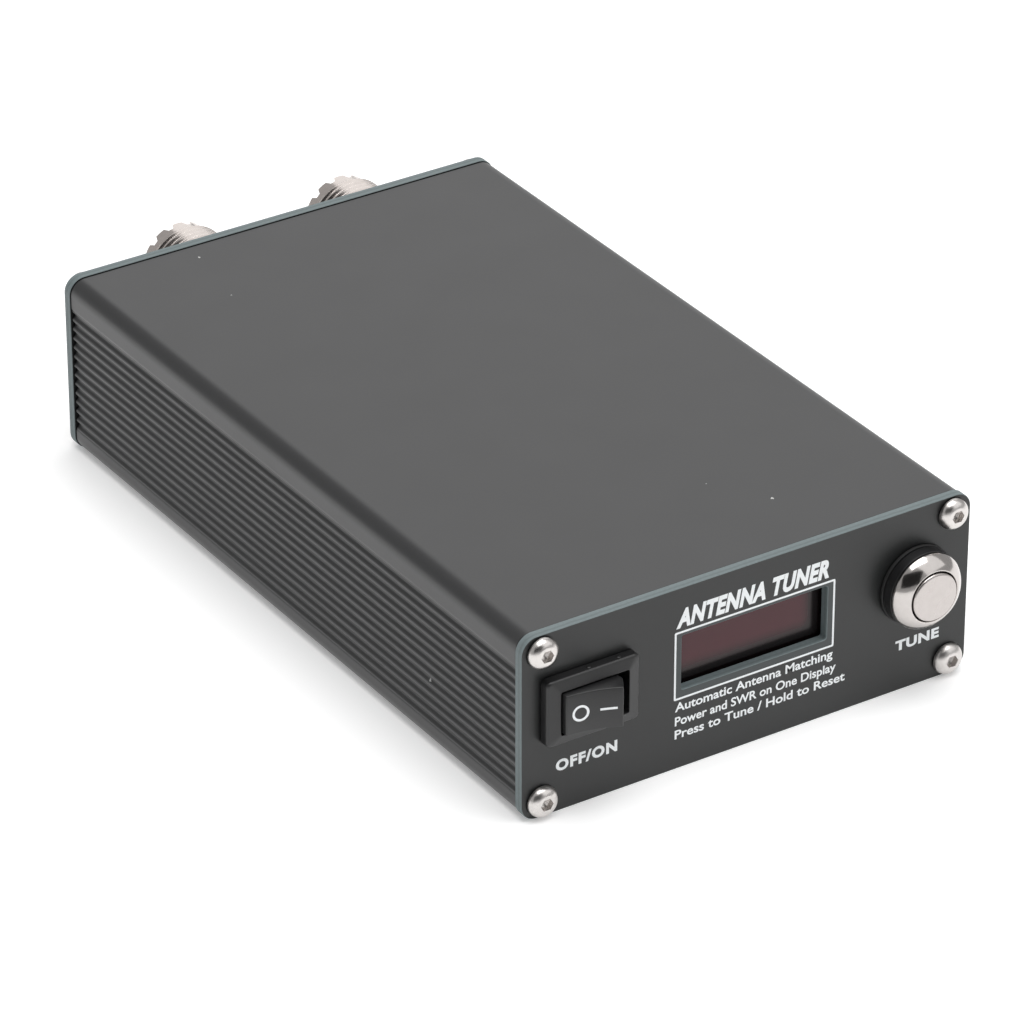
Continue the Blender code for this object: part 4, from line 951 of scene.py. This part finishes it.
def socket_shell(name, centre):
    """Threaded barrel whose mouth faces the back.

    The threaded rows climb with the angle, y = pitch * (i / n + a / 2 pi), held
    between the barrel's ends, so each row keeps its place on the ridge and
    r = root + depth * ramp(i / n). At the lip y = end - depth inside a notch.
    """
    a = np.linspace(0.0, 2 * math.pi, 97)[None, :]
    per_turn = 16
    low, high = SEAT / 2, THREAD_END - 0.35
    i = np.arange(-per_turn, int(high / THREAD_PITCH * per_turn) + 2)[:, None]
    y = np.clip(THREAD_PITCH * (i / per_turn + a / (2 * math.pi)), low, high)
    ramp = np.clip(1.9 * (1 - np.abs(2 * np.remainder(i / per_turn, 1.0) - 1)) - 0.35, 0.0, 1.0)
    run_out = np.clip((y - low) / 0.8, 0.0, 1.0) * np.clip((high - y) / 0.8, 0.0, 1.0)
    barrel = THREAD_ROOT + (THREAD_R - THREAD_ROOT) * ramp * run_out
    off = np.abs(np.remainder(np.degrees(a), 360.0 / NOTCHES) - 180.0 / NOTCHES)
    notch = NOTCH_DEPTH * np.clip((NOTCH_HALF - off) / 1.2 + 0.5, 0.0, 1.0)
    inner = CORE_R + SEAT
    base = -PANEL_T - SEAT
    flat = base - SHOULDER_T
    before = np.array([[inner, flat], [SHOULDER_R - 0.2, flat], [SHOULDER_R, flat + 0.2],
                       [SHOULDER_R, base - 0.2], [SHOULDER_R - 0.2, base], [THREAD_ROOT, base],
                       [THREAD_ROOT, 0.0]])
    after = np.array([[THREAD_ROOT - 0.05, THREAD_END - 0.2], [LIP_R, THREAD_END], [LIP_R, LIP_END - 0.14],
                      [LIP_R - 0.14, LIP_END], [MOUTH + 0.14, LIP_END], [MOUTH, LIP_END - 0.14],
                      [MOUTH, LIP_END - MOUTH_DEPTH], [inner, LIP_END - MOUTH_DEPTH]])
    at_rim = (after[:, 1:] > LIP_END - 1.0) * 1.0
    r = np.concatenate([before[:, :1] + 0 * a, barrel, after[:, :1] + 0 * a])
    y = np.concatenate([before[:, 1:] + 0 * a, y, after[:, 1:] - at_rim * notch])
    points = np.stack([centre[0] + r * np.cos(a), centre[1] + y, centre[2] + r * np.sin(a)], axis=-1)
    return solid(name, points, grid_faces(len(r), a.shape[1], True, False), sharp=40.0)


def nut(name, bore, across, start, thick, x):
    """Hexagon nut: each row is min(hexagon, ball), so that a turned chamfer takes off its corners."""
    columns = 72
    hexagon = six_sided(across, columns)
    low = np.minimum(hexagon, across / 2 * 1.06)
    eased = np.minimum(hexagon, across / 2 * 1.06 * 1.03)
    rows = [(bore + 0.25, 0.0), (low * 0.97, 0.0), (eased, 0.3), (hexagon, 0.75), (hexagon, thick - 0.75),
            (eased, thick - 0.3), (low * 0.97, thick), (bore + 0.25, thick), (bore, thick - 0.25),
            (bore, 0.25)]
    rows = [np.stack([r + 0 * low, y + start + 0 * low], axis=-1) for r, y in rows]
    return turned(name, rows, (x, 0.0, SOCKET_Z), columns, wrap=True)


# Nickel plate: whiter than steel with a pink warmth, bright, slightly uneven from
# the plating bath, and duller where fingers and plugs have been.
NICKEL = ("#e0d8d3", "#d2c9c4")
nickel = finish("nickel_plate", NICKEL, grain=0.8, relief=0.003, roughness=0.2, spread=0.07, metallic=1.0)

# Turned PTFE: a waxy white that light sinks into, with faint tool rings.
PTFE_WHITE = ("#e6e4de", "#dcdad3")
LIGHT_DEPTH = 0.4
ptfe = finish("turned_ptfe", PTFE_WHITE, grain=0.6, relief=0.01, roughness=0.5, subsurface_weight=0.25,
              subsurface_scale=LIGHT_DEPTH * MM)

core_back = -PANEL_T - SEAT - SHOULDER_T - CORE_PROUD
core_face = LIP_END - MOUTH_DEPTH
tail = core_back - SEAT
tail_end = core_back - TAIL_LENGTH + SEAT
tip = LIP_END - TUBE_SHY
core = soften(np.array([[TUBE_R + SEAT, core_back], [CORE_R, core_back], [CORE_R, core_face],
                        [TUBE_R + SEAT, core_face]]), 0.2)
tube = soften(np.array([[0.0, tail_end], [TAIL_R, tail_end], [TAIL_R, tail], [TUBE_R, tail], [TUBE_R, tip],
                        [TUBE_BORE, tip], [TUBE_BORE, tip - TUBE_DEPTH], [0.0, tip - TUBE_DEPTH]]),
              0.2, closed=False)
disc = soften(np.array([[THREAD_R + 0.2, SEAT], [WASHER_R, SEAT], [WASHER_R, SEAT + WASHER_T],
                        [THREAD_R + 0.2, SEAT + WASHER_T]]), 0.15)
nut_start = OVERALL + 2 * SEAT + WASHER_T
for number, x in zip((1, 2), SOCKET_X):
    at = (x, OVERALL, SOCKET_Z)
    stack = [
        ("barrel", socket_shell("barrel", at), nickel, "shell", "nickel_plate"),
        ("core", turned("core", core, at, wrap=True), ptfe, "insulator", "white_ptfe"),
        ("tube", turned("tube", tube, at, 48), nickel, "contact", "nickel_plate"),
        ("washer", turned("washer", disc, at, 96, wrap=True), stainless, "washer", "stainless"),
        ("nut", nut("nut", THREAD_R + 0.2, NUT_ACROSS, nut_start, NUT_T, x), stainless, "nut", "stainless"),
    ]
    for part, data, material, stands_for, slot in stack:
        piece(f"aerial_{number}_{part}", data, "case", material, f"rf_socket_{number}_{stands_for}")

# ---------------------------------------------------------------------------
# Supply socket: a round chassis socket for a coaxial power plug. Its nickelled
# brass sleeve carries the flange, and a brass pin stands in its middle.

JACK_R = 3.9
JACK_FLANGE = 5.4
JACK_MOUTH = 2.2
JACK_BORE = 3.1
JACK_REAR = -10.8
SUPPLY_PIN_R = 1.05
PIN_TAIL = 4.0
jack_at = (JACK_X, OVERALL, SOCKET_Z)
sleeve = soften(np.array([[JACK_BORE, JACK_REAR], [JACK_R, JACK_REAR], [JACK_R, SEAT], [JACK_FLANGE, SEAT],
                          [JACK_FLANGE, JACK_MOUTH - 0.5], [JACK_FLANGE - 0.5, JACK_MOUTH],
                          [JACK_BORE + 0.2, JACK_MOUTH], [JACK_BORE, JACK_MOUTH - 0.2]]), 0.12)
piece("supply_sleeve", turned("sleeve", sleeve, jack_at, wrap=True), "case", nickel,
      "dc_jack_body")

# Turned brass: yellow metal gone slightly dull and brown in the air.
BRASS = ("#c9a65c", "#b08b45")
brass = finish("turned_brass", BRASS, grain=1.2, relief=0.003, roughness=0.28, spread=0.08, metallic=1.0)
pin_back = JACK_REAR - PIN_TAIL
pin_rows = soften(np.array([[0.0, pin_back], [SUPPLY_PIN_R, pin_back], [SUPPLY_PIN_R, 0.5],
                            [SUPPLY_PIN_R * 2 / 3, 1.1], [0.0, 1.2]]), 0.15, closed=False)
piece("supply_pin", turned("pin", pin_rows, jack_at, 32), "case", brass,
      "dc_jack_pin")

# ---------------------------------------------------------------------------
# Inside: the main board in the case's rails with its relays, coils and chips,
# and the working parts behind the switch and button. They keep the shapes of
# the CAD model and take real surfaces here.

# Circuit board: green resist over glass-epoxy, with the copper tracks under it
# showing as slightly lighter paths.
RESIST_GREEN = ("#174a2c", "#1b5232")
TRACK_GREEN = "#2a6b45"
TRACK_PITCH = 2.54
TRACK_W = 0.35
circuit = finish("green_circuit_board", RESIST_GREEN, grain=0.8, relief=0.004, roughness=0.36)
tree, shader, tone, place = parts_of(circuit)
paths = node(tree, "TexBrick",
             {"Vector": place, "Color1": (0.0, 0.0, 0.0, 1.0), "Color2": (0.0, 0.0, 0.0, 1.0),
              "Mortar": (1.0, 1.0, 1.0, 1.0), "Scale": 1.0, "Brick Width": 5 * TRACK_PITCH * MM,
              "Row Height": TRACK_PITCH * MM, "Mortar Size": TRACK_W * MM})
paint(tree, shader, paths.outputs["Color"], tone, linear(TRACK_GREEN))

# Relay covers: blue glass-filled polyester, semi-matt, with moulding flow in it.
relay_cover = finish("blue_relay_cover", ("#1c3566", "#22407a"), grain=1.5, relief=0.006, roughness=0.42)

# Iron-powder toroid cores: grains of iron pressed with resin and dipped in red
# paint that lies thin on the corners.
iron_powder = finish("red_iron_powder", ("#7d1f16", "#8f2b1d"), grain=0.5, relief=0.03, roughness=0.52)

# Enamelled copper wire: the varnish turns the copper a deeper orange and keeps it
# bright, with lighter rubs where it was pulled tight.
enamelled = finish("enamelled_copper", ("#b4602f", "#c9753f"), grain=2.5, relief=0.004,
                   roughness=0.26, spread=0.08, metallic=1.0)

# Chip packages: black epoxy full of fine silica, matt, a little grey.
chip_epoxy = finish("moulded_epoxy", ("#1b1b1c", "#232324"), grain=0.3, relief=0.01, roughness=0.55)

# Capacitor sleeve: dark blue shrunk film, glossy and slightly wavy.
sleeve_film = finish("shrunk_sleeve", ("#10204a", "#152858"), grain=3.0, relief=0.03, roughness=0.24)

kept = {
    nylon: ["button_plunger", "dc_jack_insulator"],
    brass: ["switch_bridge", "switch_terminal_common", "switch_terminal_load", "button_contact",
            "button_terminal_left", "button_terminal_right"],
    stainless: ["button_nut", "regulator_tab"],
    nickel: ["dc_jack_nut"],
    circuit: ["display_board", "main_board"],
    relay_cover: ["capacitor_relays", "inductor_relays"],
    iron_powder: ["inductor_1_core", "inductor_2_core", "coupler_core"],
    enamelled: ["inductor_1_winding", "inductor_2_winding", "rf_lead_1", "rf_lead_2"],
    chip_epoxy: ["controller_chip", "regulator_case"],
    sleeve_film: ["reservoir_capacitor"],
}
for material, names in kept.items():
    for name in names:
        for slot in bpy.data.objects[name].material_slots:
            slot.material = material

# ---------------------------------------------------------------------------
# Studio: a white floor and grey walls. One soft box hangs overhead, one stands
# behind that the top face mirrors, and one stands in front.

LOOK_AT = (-21.8, 36.8, 32.7)
DISTANCE = 994.5
CAMERA_SIDE = 33.04
CAMERA_UP = 30.07
LENS = 214.2
FLOOR_HALF = 3000.0
FLOOR_GLOW = 0.27
CLOTH_HALF = (1300.0, 800.0)
CLOTH_AWAY = 2200.0
WALL_GREY = 0.42


def direction(side, up):
    """Unit vector (-sin s cos u, -cos s cos u, sin u) for angles s and u in degrees."""
    s, u = math.radians(side), math.radians(up)
    return Vector((-math.sin(s) * math.cos(u), -math.cos(s) * math.cos(u), math.sin(u)))


def faced(made, centre, way, distance):
    """Put an object in the scene at centre + way * distance, with its own z along way."""
    made.location = centre + way * distance * MM
    made.rotation_euler = way.to_track_quat("Z", "Y").to_euler()
    bpy.context.scene.collection.objects.link(made)
    return made


def soft_box(name, side, up, distance, size, power):
    """Square lamp at middle + direction * distance, turned towards the tuner's middle."""
    lamp = bpy.data.lights.new(name, "AREA")
    lamp.shape = "SQUARE"
    lamp.size = size * MM
    lamp.energy = power
    middle = Vector((0.0, 0.0, HEIGHT / 2 * MM))
    faced(bpy.data.objects.new(name, lamp), middle, direction(side, up), distance)


def backdrop(name, colour, half_x, half_y, glow=0.0):
    """Flat matt sheet of corners (+-half_x, +-half_y, 0), with a little light of its own where it glows."""
    mat = bpy.data.materials.new(name)
    mat.use_nodes = True
    sockets = mat.node_tree.nodes["Principled BSDF"].inputs
    sockets["Base Color"].default_value = linear(colour)
    sockets["Roughness"].default_value = 0.9
    sockets["Emission Color"].default_value = (1.0, 1.0, 1.0, 1.0)
    sockets["Emission Strength"].default_value = glow
    data = bpy.data.meshes.new(name)
    corners = np.array([[-1, -1, 0], [1, -1, 0], [1, 1, 0], [-1, 1, 0]]) * [half_x * MM, half_y * MM, 0.0]
    data.from_pydata(corners.tolist(), [], [(0, 1, 2, 3)])
    data.materials.append(mat)
    made = bpy.data.objects.new(name, data)
    return made


floor = backdrop("floor", "#f4f4f4", FLOOR_HALF, FLOOR_HALF, FLOOR_GLOW)
bpy.context.scene.collection.objects.link(floor)
soft_box("soft_box_back", 218.0, 29.0, 1600.0, 1300.0, 3.7)
soft_box("soft_box_top", 0.0, 84.0, 1500.0, 1200.0, 17.5)
soft_box("soft_box_front", 320.0, 45.0, 1500.0, 1500.0, 5.0)

world = bpy.data.worlds.new("studio")
world.use_nodes = True
world.node_tree.nodes["Background"].inputs["Color"].default_value = (WALL_GREY, WALL_GREY, WALL_GREY, 1.0)
world.node_tree.nodes["Background"].inputs["Strength"].default_value = 1.0
bpy.context.scene.world = world
bpy.context.scene.view_settings.view_transform = "Standard"

camera_data = bpy.data.cameras.new("camera")
camera_data.lens = LENS
camera_data.sensor_width = 36.0
camera_data.clip_start = 0.05
target = (Vector(LOOK_AT) + Vector((0.0, FRONT, 0.0))) * MM
from_target = direction(CAMERA_SIDE, CAMERA_UP)
camera = faced(bpy.data.objects.new("camera", camera_data), target, from_target, DISTANCE)
bpy.context.scene.camera = camera

# A black cloth hangs behind the camera; it shows only as the dark patch in the
# button's chrome.
cloth = faced(backdrop("cloth", "#1a1a1a", *CLOTH_HALF), target, from_target, CLOTH_AWAY)
cloth.visible_camera = False
